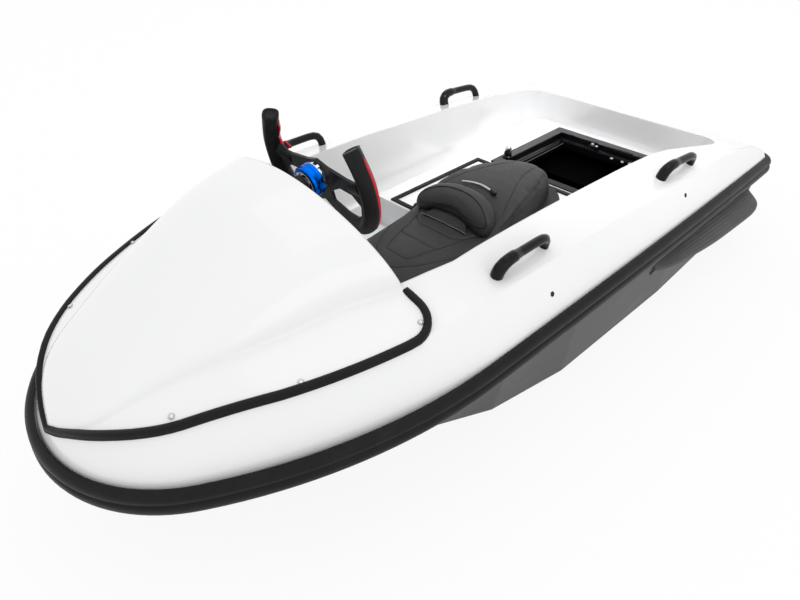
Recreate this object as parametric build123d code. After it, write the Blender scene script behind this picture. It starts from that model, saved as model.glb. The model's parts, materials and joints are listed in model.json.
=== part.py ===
from build123d import *
import os
from math import atan2, cos, degrees, radians, sin, sqrt, tan

# Electric mini jet boat, in millimetres. X runs forward to the bow, Y to port and Z up.
# Heights are measured from the floor under the flat keel pad. Stations are measured forward
# from the aftmost point of the rub rail, and each solid is moved back by half the length
# when it is saved, so that the origin lies under the middle of the boat.

# Driving dimensions
length = 2325.0
beam = 1040.0
rail_thickness = 20.0
overrun = 30.0
seat_gap = 0.3

# Plan of the hull and deck joint: a long side arc and two bow arcs, tangent to each other
half_beam = beam / 2 - rail_thickness
stern_line = rail_thickness
nose_line = length - rail_thickness
widest_station = 1210.0
stern_corner_radius = 45.0
side_turn = 1.43
bow_side_turn = 33.7
bow_corner_radius = 369.0

# Height of the joint: an arc that is highest amidships
joint_stern = 250.0
joint_middle = 308.0
joint_bow = 252.0

# Rub rail, a bevelled rubber section that wraps the joint
rail_below = 40.0
rail_above = 15.0
rail_bevel = 12.0
rail_seat = 1.5

# Deck: sides lean in from the joint, side decks rise to the coaming, a cap limits them
side_lean = 22.5
deck_inset_height = 260.0
side_deck_slope = 16.0
knuckle_reference = 455.0
crown_height = 560.0
knuckle_radius = 8.0

# Columns: station, knuckle height at the reference breadth; tangent arcs join them
knuckle_stern = (150.0, 345.0)
knuckle_quarter = (690.0, 404.0)
knuckle_middle = (1400.0, 432.0)
knuckle_cowl_way = (1700.0, 411.0)
knuckle_shoulder = (1962.0, 369.0)
knuckle_bow_way = (2099.0, 333.0)
knuckle_bow = (2210.0, 282.0)
knuckle_nose_way = (2262.0, 225.0)
knuckle_nose = (2298.0, 150.0)

# Cap over the deck, from the stern rail up to the coaming's crest
cap_stern = (10.0, 268.0)
cap_transom = (165.0, 343.0)
cap_rear_wall = (240.0, 360.0)
cap_quarter = (620.0, 441.0)
cap_middle = (1350.0, 476.0)

# Cockpit: aft platform, lower footwell and the open top's plan
platform_height = 250.0
footwell_height = 150.0
platform_end = 1126.0
footwell_end = 1850.0
footwell_rise_end = 2010.0
tub_wall = 8.0
cockpit_rear = 240.0
cockpit_half_rear = 372.0
cockpit_half = 324.0
cockpit_flare_end = 630.0
cockpit_straight_end = 1480.0
cockpit_rear_radius = 70.0
cockpit_cowl_station = 1680.0
cockpit_cowl_half = 290.0
cockpit_nose_half = 150.0

# Hull. Columns: station, chine half breadth, chine height, keel pad half breadth, keel height
hull_stations = (
    (0.0, 418.0, 48.0, 130.0, 0.0),
    (700.0, 456.0, 48.0, 130.0, 0.0),
    (1200.0, 462.0, 56.0, 110.0, 0.0),
    (1450.0, 436.0, 74.0, 90.0, 8.0),
    (1650.0, 372.0, 100.0, 70.0, 30.0),
    (1850.0, 286.0, 136.0, 50.0, 66.0),
    (2020.0, 196.0, 172.0, 35.0, 116.0),
    (2170.0, 112.0, 198.0, 25.0, 166.0),
    (2275.0, 40.0, 214.0, 15.0, 204.0),
)
hull_side_inset = 3.0
transom_rake = 78.0

# Machinery space in the hull, under the platform
bay_front = 1076.0
bay_rear = 272.0
bay_half = 225.0
bay_floor = 34.0
hatch_rear = 302.0
hatch_front = 662.0
hatch_half = 196.0

# Pump tunnel in the hull bottom, open below and aft
tunnel_front = 500.0
tunnel_half = 92.0
tunnel_roof = 180.0

# Hatch frame: flat rim on the platform and a lip that hangs in the opening
hatch_rim = 22.0
hatch_rim_thickness = 5.0
hatch_ledge = 30.0
hatch_ledge_drop = 42.0
hatch_wall = 4.0

# Heavy blocks
battery_length = 360.0
battery_width = 300.0
battery_height = 180.0
battery_front = 1066.0
motor_length = 130.0
motor_radius = 62.0
motor_rear = 520.0

# Cowl. Columns: station, half breadth at the foot, foot height, crest height
cowl_stations = (
    (1530.0, 328.0, 470.0, 654.0),
    (1700.0, 296.0, 462.0, 657.0),
    (1850.0, 266.0, 448.0, 622.0),
    (1964.0, 229.0, 428.0, 560.0),
    (2085.0, 186.0, 406.0, 488.0),
    (2200.0, 138.0, 372.0, 417.0),
    (2258.0, 74.0, 340.0, 357.0),
)
cowl_base_height = 300.0
cowl_knee_share = 0.80
cowl_knee_height_share = 0.58
cowl_side_share = 0.95
cowl_side_height_share = 0.285
cowl_thickness = 5.0
cowl_rear = 1624.0
cowl_rear_height = 457.0
cowl_rear_lean = 0.34
cowl_corner_radius = 62.0
flange_thickness = 4.0

# Trim over the cowl's edge. Ahead of its split it follows the knuckle in side view
trim_width = 18.0
trim_proud = 5.0
trim_drop = 14.0
trim_rise = 6.0
trim_split = (1880.0, 409.0)
trim_way = (2110.0, 385.0)
trim_nose = (2266.0, 342.0)

# Steering. The wheel leans back a little from upright
wheel_station = 1576.0
wheel_height = 602.0
column_tilt = 11.0
wheel_plate_thickness = 8.0

# Wheel plate and hand opening, half of each. Columns: breadth, height over the hub
wheel_outline = (
    (0.0, 42.0),
    (36.0, 32.0),
    (100.0, 24.0),
    (146.0, 24.0),
    (160.0, -4.0),
    (152.0, -62.0),
    (126.0, -106.0),
    (92.0, -118.0),
    (50.0, -100.0),
    (0.0, -66.0),
)
hand_hole = (
    (34.0, -32.0),
    (72.0, -10.0),
    (112.0, -12.0),
    (138.0, -34.0),
    (132.0, -62.0),
    (112.0, -78.0),
    (82.0, -76.0),
    (36.0, -60.0),
)
plate_corner_radius = 7.0

# Grip, top to foot. Columns: breadth, height over the hub
grip_line = (
    (144.0, 112.0),
    (172.0, 40.0),
    (168.0, -34.0),
    (128.0, -94.0),
)
grip_bend = 40.0
grip_radius = 17.0
release_radius = 40.0
release_length = 30.0
flange_radius = 36.0
hub_flange_thickness = 12.0
steering_shaft_radius = 14.0
column_radius = 26.0
column_length = 150.0
column_gap = 6.0
column_clamp_share = 0.6
shaft_clearance = 0.06
pedestal_width = 60.0
pedestal_depth = 46.0
pedestal_foot = 130.0
pedestal_foot_thickness = 6.0
pedestal_station = 1740.0

# Jet pump on the centre line
pump_axis_height = 98.0
pump_radius = 62.0
pump_bore = 52.0
pump_rear = 112.0
pump_length = 150.0
pump_flange_radius = 76.0
pump_flange_thickness = 8.0
impeller_radius = 46.5
impeller_hub_radius = 18.0
impeller_length = 56.0
impeller_station = 186.0
impeller_blades = 4
impeller_sweep = 70.0
blade_thickness = 4.0
blade_root_share = 0.7
blade_run_share = 0.8
blade_start_share = 0.1
vane_run_share = 0.8
pump_shaft_radius = 8.0
stator_vanes = 5
stator_length = 44.0
stator_hub_radius = 20.0
nozzle_pivot = 86.0
nozzle_outer_radius = 46.0
nozzle_exit_radius = 34.0
nozzle_wall = 5.0
nozzle_length = 62.0
nozzle_pin_radius = 6.0
nozzle_ear_gap = 6.0
nozzle_ear_thickness = 8.0
nozzle_ear_half = 13.0
intake_front = 480.0
intake_wall = 25.0
intake_mouth_rear = 300.0
intake_mouth_front = 452.0
intake_mouth_half = 62.0
duct_half_share = 0.7
grate_bars = 7
grate_bar_width = 5.0
grate_height = 12.0
ride_plate_thickness = 6.0

# Seat, a long saddle on a deep base
seat_rear = 722.0
seat_front = 1487.0
seat_half = 165.0
seat_rider_height = 265.0
seat_pillion_height = 320.0
seat_step = 1112.0
seat_pad_thickness = 45.0
bolster_front = 1148.0
bolster_rear = 1058.0
bolster_half = 140.0
bolster_height = 361.0
seat_frame_rear = 698.0
seat_frame_front = 1118.0
seat_frame_half = 265.0
seat_frame_width = 14.0
seat_frame_height = 6.0

seat_corner_share = 0.92
bolster_corner_share = 1 / 3

# Grab handles. Columns: name, middle station, middle breadth
handle_places = (
    ("front", 1345.0, 408.0),
    ("rear", 637.0, 406.0),
)
handle_length = 192.0
handle_height = 46.0
handle_radius = 10.5
handle_foot_radius = 15.0
handle_bend_share = 1.9
handle_front_foot_share = 0.75
handle_rear_foot_share = 0.55

# Sponsons: fins that slope out from the hull's aft sides, under the rail.
# Columns: station, outer breadth, height of the outer edge, height of the root's top and foot
sponson_stations = (
    (150.0, 494.0, 166.0, 196.0, 138.0),
    (180.0, 513.0, 161.0, 214.0, 130.0),
    (475.0, 514.0, 168.0, 214.0, 132.0),
    (640.0, 508.0, 184.0, 214.0, 146.0),
    (800.0, 482.0, 197.0, 207.0, 184.0),
)
sponson_root = 420.0
sponson_slope_run = 44.0
sponson_lip = 10.0

port = 1
starboard = -1
sides = ((port, "port"), (starboard, "starboard"))


def save(name, shape):
    """Write one piece, with the origin moved under the middle of the boat."""
    export_step(Pos(-length / 2, 0, 0) * shape, "parts/" + name + ".step")


def arc_about(centre, radius, start, end):
    """An arc about a centre; angles are in degrees from the bow towards port."""
    def at(angle):
        a = radians(angle)
        return (centre[0] + radius * cos(a), centre[1] + radius * sin(a))
    return ThreePointArc(at(start), at((start + end) / 2), at(end))


# The deck's sides lean in from the stern's joint height, so that their plan is wider amidships
deck_half_beam = half_beam + (joint_middle - joint_stern) * tan(radians(side_lean))
first_turn = radians(side_turn)
last_turn = radians(bow_side_turn)
bow_corner_station = nose_line - bow_corner_radius


def side_radii(half):
    """Radii of the long side arc and the bow side arc, tangent to the bow corner's arc."""
    along = (sin(first_turn), sin(last_turn) - sin(first_turn))
    across = (cos(first_turn) - 1, cos(last_turn) - cos(first_turn))
    reach = bow_corner_station - widest_station + bow_corner_radius * sin(last_turn)
    fall = bow_corner_radius * cos(last_turn) - half
    scale = along[0] * across[1] - along[1] * across[0]
    long_radius = (reach * across[1] - along[1] * fall) / scale
    bow_radius = (along[0] * fall - reach * across[0]) / scale
    return long_radius, bow_radius


def side_centres(half):
    """Centres of the long side arc and the bow side arc."""
    long_radius, bow_radius = side_radii(half)
    long_centre = (widest_station, half - long_radius)
    step = long_radius - bow_radius
    bow_centre = (widest_station + step * sin(first_turn), long_centre[1] + step * cos(first_turn))
    return long_centre, bow_centre


def plan_half_breadth(station, outset=0.0, half=half_beam):
    """Half breadth of the joint line at a station, moved out by outset."""
    long_radius, bow_radius = side_radii(half)
    long_centre, bow_centre = side_centres(half)
    if station <= widest_station + (long_radius + outset) * sin(first_turn):
        return long_centre[1] + sqrt((long_radius + outset) ** 2 - (station - widest_station) ** 2)
    if station <= bow_centre[0] + (bow_radius + outset) * sin(last_turn):
        return bow_centre[1] + sqrt((bow_radius + outset) ** 2 - (station - bow_centre[0]) ** 2)
    reach = bow_corner_radius + outset
    return sqrt(max(reach ** 2 - (station - bow_corner_station) ** 2, 0))


def plan_outline(outset, height, half=half_beam):
    """The joint line, moved out by outset, as a face at a height."""
    long_radius, bow_radius = side_radii(half)
    long_centre, bow_centre = side_centres(half)
    stern_radius = stern_corner_radius + max(outset, 0)
    stern_station = stern_line - outset + stern_radius
    gap = long_radius + outset - stern_radius
    stern_breadth = long_centre[1] + sqrt(gap ** 2 - (widest_station - stern_station) ** 2)
    stern_angle = degrees(atan2(stern_breadth - long_centre[1], stern_station - widest_station))
    stern_corner = arc_about((stern_station, stern_breadth), stern_radius, 180, stern_angle)
    side_arc = arc_about(long_centre, long_radius + outset, stern_angle, 90 - side_turn)
    bow_side = arc_about(bow_centre, bow_radius + outset, 90 - side_turn, 90 - bow_side_turn)
    bow_corner = arc_about((bow_corner_station, 0), bow_corner_radius + outset,
                           90 - bow_side_turn, bow_side_turn - 90)
    port_side = [stern_corner, side_arc, bow_side]
    starboard_side = [edge.mirror(Plane.XZ) for edge in port_side]
    stern = Line(starboard_side[0] @ 0, stern_corner @ 0)
    return Pos(0, 0, height) * make_face(port_side + [bow_corner] + starboard_side + [stern])


def arc_height(points, station):
    """Height at a station of the arc through three places, each a station and a height."""
    (x1, z1), (x2, z2), (x3, z3) = points
    twice = 2 * (x1 * (z2 - z3) + x2 * (z3 - z1) + x3 * (z1 - z2))
    squares = (x1 ** 2 + z1 ** 2, x2 ** 2 + z2 ** 2, x3 ** 2 + z3 ** 2)
    centre_x = (squares[0] * (z2 - z3) + squares[1] * (z3 - z1) + squares[2] * (z1 - z2)) / twice
    centre_z = (squares[0] * (x3 - x2) + squares[1] * (x1 - x3) + squares[2] * (x2 - x1)) / twice
    reach = (x1 - centre_x) ** 2 + (z1 - centre_z) ** 2
    return centre_z + sqrt(reach - (station - centre_x) ** 2)


def joint_height(station):
    """Height of the hull and deck joint at a station."""
    places = ((0, joint_stern), (widest_station, joint_middle), (length, joint_bow))
    return arc_height(places, station)


def under_joint(lift):
    """Everything below the joint's arc, moved up by lift."""
    stations = (-overrun, widest_station, length + overrun)
    start, middle, end = [(x, 0, joint_height(x) + lift) for x in stations]
    corner_fore = (end[0], 0, -length)
    corner_aft = (start[0], 0, -length)
    face = make_face([ThreePointArc(start, middle, end), Line(end, corner_fore),
                      Line(corner_fore, corner_aft), Line(corner_aft, start)])
    return extrude(Pos(0, beam, 0) * face, amount=2 * beam, dir=(0, -1, 0))


def slab(x_from, x_to, y_from, y_to, z_from, z_to):
    """A block between two corners."""
    middle = Pos((x_from + x_to) / 2, (y_from + y_to) / 2, (z_from + z_to) / 2)
    return middle * Box(x_to - x_from, y_to - y_from, z_to - z_from)


def knuckle_curve(lift):
    """Height of the side deck at the reference breadth, along the boat."""
    def place(point):
        return (point[0], 0, point[1] + lift)
    aft = (-overrun, knuckle_stern[1])
    edges = [
        Line(place(aft), place(knuckle_stern)),
        ThreePointArc(place(knuckle_stern), place(knuckle_quarter), place(knuckle_middle)),
        ThreePointArc(place(knuckle_middle), place(knuckle_cowl_way), place(knuckle_shoulder)),
        ThreePointArc(place(knuckle_shoulder), place(knuckle_bow_way), place(knuckle_bow)),
        ThreePointArc(place(knuckle_bow), place(knuckle_nose_way), place(knuckle_nose)),
    ]
    last = place(knuckle_nose)
    edges.append(Line(last, (length + overrun, 0, last[2])))
    return edges


def under_side_decks(lift):
    """Everything below both side decks' planes: each is a profile pulled along its slope."""
    edges = knuckle_curve(lift)
    first = edges[0] @ 0
    last = edges[-1] @ 1
    corner_fore = (last.X, 0, -length)
    corner_aft = (first.X, 0, -length)
    ring = edges + [Line(last, corner_fore), Line(corner_fore, corner_aft), Line(corner_aft, first)]
    face = make_face(ring)
    slope = tan(radians(side_deck_slope))
    solids = []
    for side in (port, starboard):
        outer = half_beam + overrun
        start = Pos(0, side * outer, -slope * (outer - knuckle_reference)) * face
        run = Vector(0, -side, slope)
        solid = extrude(start, amount=2 * outer * run.length, dir=run.normalized())
        solids.append(solid)
    return solids[0] & solids[1]


def under_cap():
    """Everything below the cap that ends the side decks at the coaming and the stern."""
    points = (cap_stern, cap_transom, cap_rear_wall, cap_quarter)
    stations = [(-overrun, cap_stern[1])] + list(points)
    edges = []
    for start, end in zip(stations[:-1], stations[1:]):
        edges.append(Line((start[0], 0, start[1]), (end[0], 0, end[1])))
    middle = (cap_middle[0], 0, cap_middle[1])
    front = (length + overrun, 0, crown_height)
    edges.append(Line((cap_quarter[0], 0, cap_quarter[1]), middle))
    edges.append(Line(middle, front))
    corner_fore = (front[0], 0, -overrun)
    corner_aft = (-overrun, 0, -overrun)
    edges += [Line(front, corner_fore), Line(corner_fore, corner_aft)]
    edges.append(Line(corner_aft, (-overrun, 0, cap_stern[1])))
    face = Pos(0, beam, 0) * make_face(edges)
    return extrude(face, amount=2 * beam, dir=(0, -1, 0))


def leaning_sides(outset):
    """The deck's leaning sides as a solid from the joint up, moved out by outset."""
    inset = deck_inset_height * tan(radians(side_lean))
    low = plan_outline(outset, joint_stern, deck_half_beam)
    high = plan_outline(outset - inset, joint_stern + deck_inset_height, deck_half_beam)
    return loft([low, high], ruled=True)


def inside_rail(gap):
    """Everything inside the rub rail's inner wall, moved in by gap."""
    return extrude(plan_outline(-rail_seat - gap, 0), amount=crown_height)


def deck_envelope():
    """The deck's outside form without the cockpit."""
    body = leaning_sides(0) & under_side_decks(0) & under_cap()
    return (body & inside_rail(0)) - under_joint(0)


def cockpit_plan(clearance, nose):
    """Plan of the open cockpit, moved out by clearance."""
    half = cockpit_half + clearance
    points = [
        (cockpit_rear - clearance, 0),
        (cockpit_rear - clearance, cockpit_half_rear + clearance),
        (cockpit_flare_end, half),
        (cockpit_straight_end, half),
        (cockpit_cowl_station, cockpit_cowl_half + clearance),
        (nose + clearance, cockpit_nose_half + clearance),
        (nose + clearance, 0),
    ]
    other = [(x, -y) for x, y in reversed(points[1:-1])]
    return points + other


def well(clearance, floor, top):
    """The cockpit's space above the platform, with corners rounded aft."""
    outline = cockpit_plan(clearance, footwell_rise_end)
    face = make_face(Polyline(*outline, close=True))
    solid = extrude(Pos(0, 0, floor) * face, amount=top - floor)
    rear = solid.edges().filter_by(Axis.Z).sort_by(Axis.X)[:2]
    return fillet(rear, cockpit_rear_radius + clearance)


def footwell(clearance):
    """The lower space for the legs, ahead of the platform, rising under the cowl."""
    floor = footwell_height - clearance
    start = platform_end - clearance
    top = platform_height + overrun
    profile = Polyline(
        (start, 0, floor),
        (footwell_end, 0, floor),
        (footwell_rise_end + clearance, 0, top),
        (start, 0, top),
        close=True,
    )
    face = Pos(0, beam, 0) * make_face(profile)
    long_box = extrude(face, amount=2 * beam, dir=(0, -1, 0))
    half = cockpit_half - 2 * tub_wall + clearance
    points = [
        (start, half),
        (cockpit_straight_end, half),
        (footwell_end, cockpit_nose_half + 2 * tub_wall + clearance),
        (footwell_rise_end + clearance, cockpit_nose_half + clearance),
    ]
    ring = points + [(x, -y) for x, y in reversed(points)]
    plan = extrude(make_face(Polyline(*ring, close=True)), amount=top)
    return long_box & plan


def hatch_opening(half, rear, front, floor, top):
    """The hatch's cut through the platform."""
    return slab(rear, front, -half, half, floor, top)


def deck_moulding():
    """Deck, coamings, cockpit walls, platform and footwell in one moulding."""
    body = deck_envelope()
    tub = well(tub_wall, platform_height - tub_wall, joint_middle + tub_wall)
    shell = body + tub + footwell(tub_wall)
    shell -= well(0, platform_height, crown_height + overrun)
    shell -= footwell(0)
    shell -= hatch_opening(hatch_half, hatch_rear, hatch_front, 0, platform_height + overrun)
    return fillet(shell.edges().filter_by(on_knuckle), knuckle_radius)


def on_knuckle(edge):
    """Whether an edge is on the long knuckle between the side deck and the leaning side."""
    box = edge.bounding_box()
    outside = max(box.max.Y, -box.min.Y) > cockpit_half_rear + overrun
    above = box.min.Z > cap_transom[1] + overrun / 2 and box.max.Z < cap_quarter[1]
    return outside and above and box.size.X > cockpit_cowl_half


def hull_section(station, chine_half, chine_height, keel_half, keel_height):
    """One hull section: joint, side, chine, bottom and keel pad."""
    top_half = plan_half_breadth(station, -hull_side_inset)
    half = [(top_half, joint_middle), (chine_half, chine_height), (keel_half, keel_height)]
    ring = half + [(-y, z) for y, z in reversed(half)]
    return Wire.make_polygon([Vector(station, y, z) for y, z in ring], close=True)


def hull_envelope():
    """The hull's outside form, with its raked transom."""
    stations = [(stern_line,) + hull_stations[0][1:]] + list(hull_stations[1:])
    solid = Solid.make_loft([hull_section(*row) for row in stations], ruled=True)
    wedge = Polyline(
        (stern_line - overrun, 0, joint_middle),
        (stern_line, 0, joint_middle),
        (stern_line + transom_rake, 0, 0),
        (stern_line + transom_rake, 0, -overrun),
        (stern_line - overrun, 0, -overrun),
        close=True,
    )
    cut = extrude(Pos(0, beam, 0) * make_face(wedge), amount=2 * beam, dir=(0, -1, 0))
    return (solid - cut) & under_joint(0)


def tunnel():
    """The pump's tunnel, open below and aft."""
    return slab(-overrun, tunnel_front, -tunnel_half, tunnel_half, -overrun, tunnel_roof)


def hull_shell():
    """The hull below the joint, with the tub, the machinery space and the tunnel cut out."""
    body = hull_envelope()
    body -= well(tub_wall, platform_height - tub_wall, joint_middle + overrun)
    body -= footwell(tub_wall)
    top = platform_height
    body -= slab(tunnel_front + tub_wall, bay_front, -bay_half, bay_half, bay_floor, top)
    body -= slab(bay_rear, tunnel_front + overrun, -bay_half, bay_half, tunnel_roof + tub_wall, top)
    body -= tunnel()
    body -= on_pump(tunnel_front - overrun, pump_shaft_radius + shaft_clearance, 3 * overrun)
    return body & inside_rail(seat_gap)


def rub_rail():
    """The rubber rail round the joint, bevelled outside."""
    band = under_joint(rail_above) - under_joint(-rail_below)
    outer = extrude(plan_outline(rail_thickness, 0), amount=crown_height) & band
    edges = outer.edges().filter_by(lambda e: e.bounding_box().size.Z < rail_below)
    return chamfer(edges, rail_bevel) - inside_rail(0)


def cowl_section(station, half, foot, crest, inset):
    """One arch of the cowl: a crown arc, a rounder arc down each side and a straight foot."""
    base = cowl_base_height
    half = half - inset
    crest = crest - inset
    rise = crest - foot
    knee = (half * cowl_knee_share, foot + rise * cowl_knee_height_share)
    side = (half * cowl_side_share, foot + rise * cowl_side_height_share)
    edges = [
        ThreePointArc((station, knee[0], knee[1]), (station, 0, crest), (station, -knee[0], knee[1])),
        ThreePointArc((station, -knee[0], knee[1]), (station, -side[0], side[1]), (station, -half, foot)),
        Line((station, -half, foot), (station, -half, base)),
        Line((station, -half, base), (station, half, base)),
        Line((station, half, base), (station, half, foot)),
        ThreePointArc((station, half, foot), (station, side[0], side[1]), (station, knee[0], knee[1])),
    ]
    return Wire(edges)


def cowl_form(inset):
    """The bubble as a solid, before its rear edge is cut."""
    rows = list(cowl_stations)
    return Solid.make_loft([cowl_section(*row, inset) for row in rows], ruled=False)


def behind_cowl(offset):
    """Everything aft of the cowl's leaning rear edge."""
    high = crown_height + length / 4
    foot = cowl_rear + offset - cowl_rear_lean * cowl_rear_height
    head = cowl_rear + offset + cowl_rear_lean * (high - cowl_rear_height)
    points = ((-overrun, 0, 0), (foot, 0, 0), (head, 0, high), (-overrun, 0, high))
    face = Pos(0, beam, 0) * make_face(Polyline(*points, close=True))
    return extrude(face, amount=2 * beam, dir=(0, -1, 0))


cowl_corner_rise = knuckle_cowl_way[1] - joint_stern
cowl_corner_half = plan_half_breadth(cowl_rear + cowl_corner_radius,
                                     -cowl_corner_rise * tan(radians(side_lean)), deck_half_beam)


def cowl_region(inset):
    """Plan of the cowl's flange: the leaning side moved in, cut by the rounded rear corner."""
    half = cowl_corner_half - inset
    rear = cowl_rear + inset
    box = Pos((rear + length) / 2, 0, 0) * Rectangle(length - rear, 2 * half)
    rear_corners = box.vertices().sort_by(Axis.X)[:2]
    box = fillet(rear_corners, cowl_corner_radius - inset)
    return extrude(box, amount=length / 2) & leaning_sides(-inset)


def cowl():
    """The bubble and its flange, which lies on the side decks."""
    lid = under_side_decks(flange_thickness)
    seat = under_side_decks(0)
    flange = (lid - seat) & cowl_region(0)
    bubble = (cowl_form(0) - cowl_form(cowl_thickness)) - seat
    bubble -= behind_cowl(0)
    flange -= cowl_form(cowl_thickness)
    return flange + bubble


def under_trim_line(lift):
    """Everything below the knuckle's side view ahead of the trim's split, moved up by lift."""
    start, way, end = [(x, 0, z + lift) for x, z in (trim_split, trim_way, trim_nose)]
    tip = (length + overrun, 0, end[2] - (length + overrun - end[0]))
    corner_fore = (tip[0], 0, -overrun)
    corner_aft = (start[0], 0, -overrun)
    face = make_face([ThreePointArc(start, way, end), Line(end, tip), Line(tip, corner_fore),
                      Line(corner_fore, corner_aft), Line(corner_aft, start)])
    return extrude(Pos(0, beam, 0) * face, amount=2 * beam, dir=(0, -1, 0))


def cowl_trim():
    """The rubber trim round the flange's edge, up over the deck's knuckle."""
    high = flange_thickness + trim_rise
    aft = under_side_decks(high) & cowl_outer(trim_proud)
    aft -= cowl_region(trim_width)
    aft -= under_side_decks(-trim_drop)
    aft = aft & slab(cowl_rear - trim_proud, trim_split[0] + trim_proud, -beam, beam, 0, length)
    aft -= slab(0, cowl_rear + cowl_corner_radius, -cockpit_half, cockpit_half, 0, length)
    fore = (under_trim_line(high) - under_trim_line(-trim_drop)) & leaning_sides(trim_proud)
    fore -= leaning_sides(-trim_width)
    band = (aft + fore) - cowl_form(0) - cowl()
    return band - deck_envelope() - under_joint(rail_above)


def cowl_outer(outset):
    """The cowl's plan moved out, for the trim's outside."""
    half = cowl_corner_half + outset
    rear = cowl_rear - outset
    box = Pos((rear + length) / 2, 0, 0) * Rectangle(length - rear, 2 * half)
    rear_corners = box.vertices().sort_by(Axis.X)[:2]
    box = fillet(rear_corners, cowl_corner_radius + outset)
    return extrude(box, amount=length / 2) & leaning_sides(outset)


def hatch_frame():
    """Flat rim on the platform with a stepped ledge that hangs in the opening."""
    z = platform_height
    half = hatch_half - seat_gap
    rear = hatch_rear + seat_gap
    front = hatch_front - seat_gap
    rim = slab(hatch_rear - hatch_rim, hatch_front + hatch_rim, -hatch_half - hatch_rim,
               hatch_half + hatch_rim, z, z + hatch_rim_thickness)
    wall = slab(rear, front, -half, half, z - hatch_ledge_drop, z + hatch_rim_thickness)
    step = slab(rear + hatch_wall, front - hatch_wall, -half + hatch_wall, half - hatch_wall,
                z - hatch_ledge_drop + hatch_wall, z + overrun)
    hole = slab(rear + hatch_ledge, front - hatch_ledge, -half + hatch_ledge,
                half - hatch_ledge, 0, z + overrun)
    return rim + wall - step - hole


def battery_block():
    low = bay_floor
    return slab(battery_front - battery_length, battery_front, -battery_width / 2,
                battery_width / 2, low, low + battery_height)


def motor_block():
    """The motor on the pump's axis, with its foot on the machinery space's floor."""
    place = Pos(motor_rear + motor_length / 2, 0, pump_axis_height) * Rot(0, 90, 0)
    body = place * Cylinder(motor_radius, motor_length)
    foot = slab(motor_rear, motor_rear + motor_length, -motor_radius, motor_radius,
                bay_floor, pump_axis_height)
    return body + foot


def seat_base_frame():
    """Thin raised frame on the platform round the seat."""
    z = platform_height
    outer = slab(seat_frame_rear, seat_frame_front, -seat_frame_half, seat_frame_half,
                 z, z + seat_frame_height)
    inner = slab(seat_frame_rear + seat_frame_width, seat_frame_front - seat_frame_width,
                 -seat_frame_half + seat_frame_width, seat_frame_half - seat_frame_width,
                 z - overrun, z + overrun)
    return outer - inner - extrude(seat_outline(-seat_gap, 0), amount=crown_height)


def seat_outline(shrink, height):
    """Plan of the saddle: round nose and tail with a waist."""
    half = seat_half - shrink
    return Pos((seat_rear + seat_front) / 2, 0, height) * RectangleRounded(
        seat_front - seat_rear - 2 * shrink, 2 * half, half * seat_corner_share)


def seat_profile(drop, front_drop):
    """Side profile of the saddle, lowered by drop."""
    points = (
        (seat_rear - overrun, 0, seat_pillion_height - drop),
        (seat_step, 0, seat_pillion_height - drop),
        (seat_step + 2 * overrun, 0, seat_rider_height - drop),
        (seat_front + overrun, 0, seat_rider_height - drop - front_drop),
        (seat_front + overrun, 0, 0),
        (seat_rear - overrun, 0, 0),
    )
    face = Pos(0, beam, 0) * make_face(Polyline(*points, close=True))
    return extrude(face, amount=2 * beam, dir=(0, -1, 0))


def seat_base():
    """The deep base under the saddle, standing on the platform and in the footwell."""
    body = extrude(seat_outline(2 * shaft_clearance, 0), amount=crown_height)
    body = body & seat_profile(seat_pad_thickness + seat_gap, 0)
    floor_aft = slab(0, platform_end + seat_gap, -beam, beam, 0, platform_height)
    floor_fore = slab(platform_end - overrun, length, -beam, beam, 0, footwell_height)
    return body - floor_aft - floor_fore


def seat_saddle():
    body = extrude(seat_outline(0, 0), amount=crown_height)
    return (body & seat_profile(0, 0)) - seat_profile(seat_pad_thickness, 0)


def seat_bolster():
    """The lumbar bolster, standing on the saddle's step."""
    top = slab(bolster_rear, bolster_front, -bolster_half, bolster_half,
               seat_rider_height - seat_pad_thickness, bolster_height)
    edges = top.edges().filter_by(Axis.X)
    top = fillet(edges.sort_by(Axis.Z)[-2:], bolster_half * bolster_corner_share)
    return top - seat_profile(-seat_gap, 0)


def grab_handle(station, breadth, side):
    """A low tube with a thick front foot and a stub aft foot, standing on the side deck."""
    slope = tan(radians(side_deck_slope))
    base = handle_base(station, breadth)
    rear = -handle_length / 2 + handle_foot_radius
    front = handle_length / 2 - handle_foot_radius
    path = FilletPolyline(
        (rear, 0, 0),
        (rear, 0, handle_height - handle_radius),
        (front, 0, handle_height - handle_radius),
        (front, 0, 0),
        radius=handle_radius * handle_bend_share,
    )
    bar = sweep(Plane(path @ 0, z_dir=path % 0) * Circle(handle_radius), path=path)
    low = -2 * handle_radius
    feet = Pos(front, 0, low) * Cylinder(handle_foot_radius, handle_height * handle_front_foot_share - low,
                                         align=(Align.CENTER, Align.CENTER, Align.MIN))
    feet += Pos(rear, 0, low) * Cylinder(handle_foot_radius, handle_height * handle_rear_foot_share - low,
                                         align=(Align.CENTER, Align.CENTER, Align.MIN))
    tilt = side * -side_deck_slope
    placed = Pos(station, side * breadth, base) * Rot(tilt, 0, 0) * (bar + feet)
    return placed - under_side_decks(0)


def handle_base(station, breadth):
    """Height of the side deck's surface at a station and breadth."""
    height = arc_height((knuckle_stern, knuckle_quarter, knuckle_middle), station)
    return height + tan(radians(side_deck_slope)) * (knuckle_reference - breadth)


def sponson_section(station, breadth, edge_height, top, foot):
    """One section of a fin: root, sloping upper side, thin edge and lower side."""
    points = (
        (sponson_root, top),
        (breadth - sponson_slope_run, top),
        (breadth, edge_height + sponson_lip / 2),
        (breadth, edge_height - sponson_lip / 2),
        (sponson_root, foot),
    )
    return Wire.make_polygon([Vector(station, y, z) for y, z in points], close=True)


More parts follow.
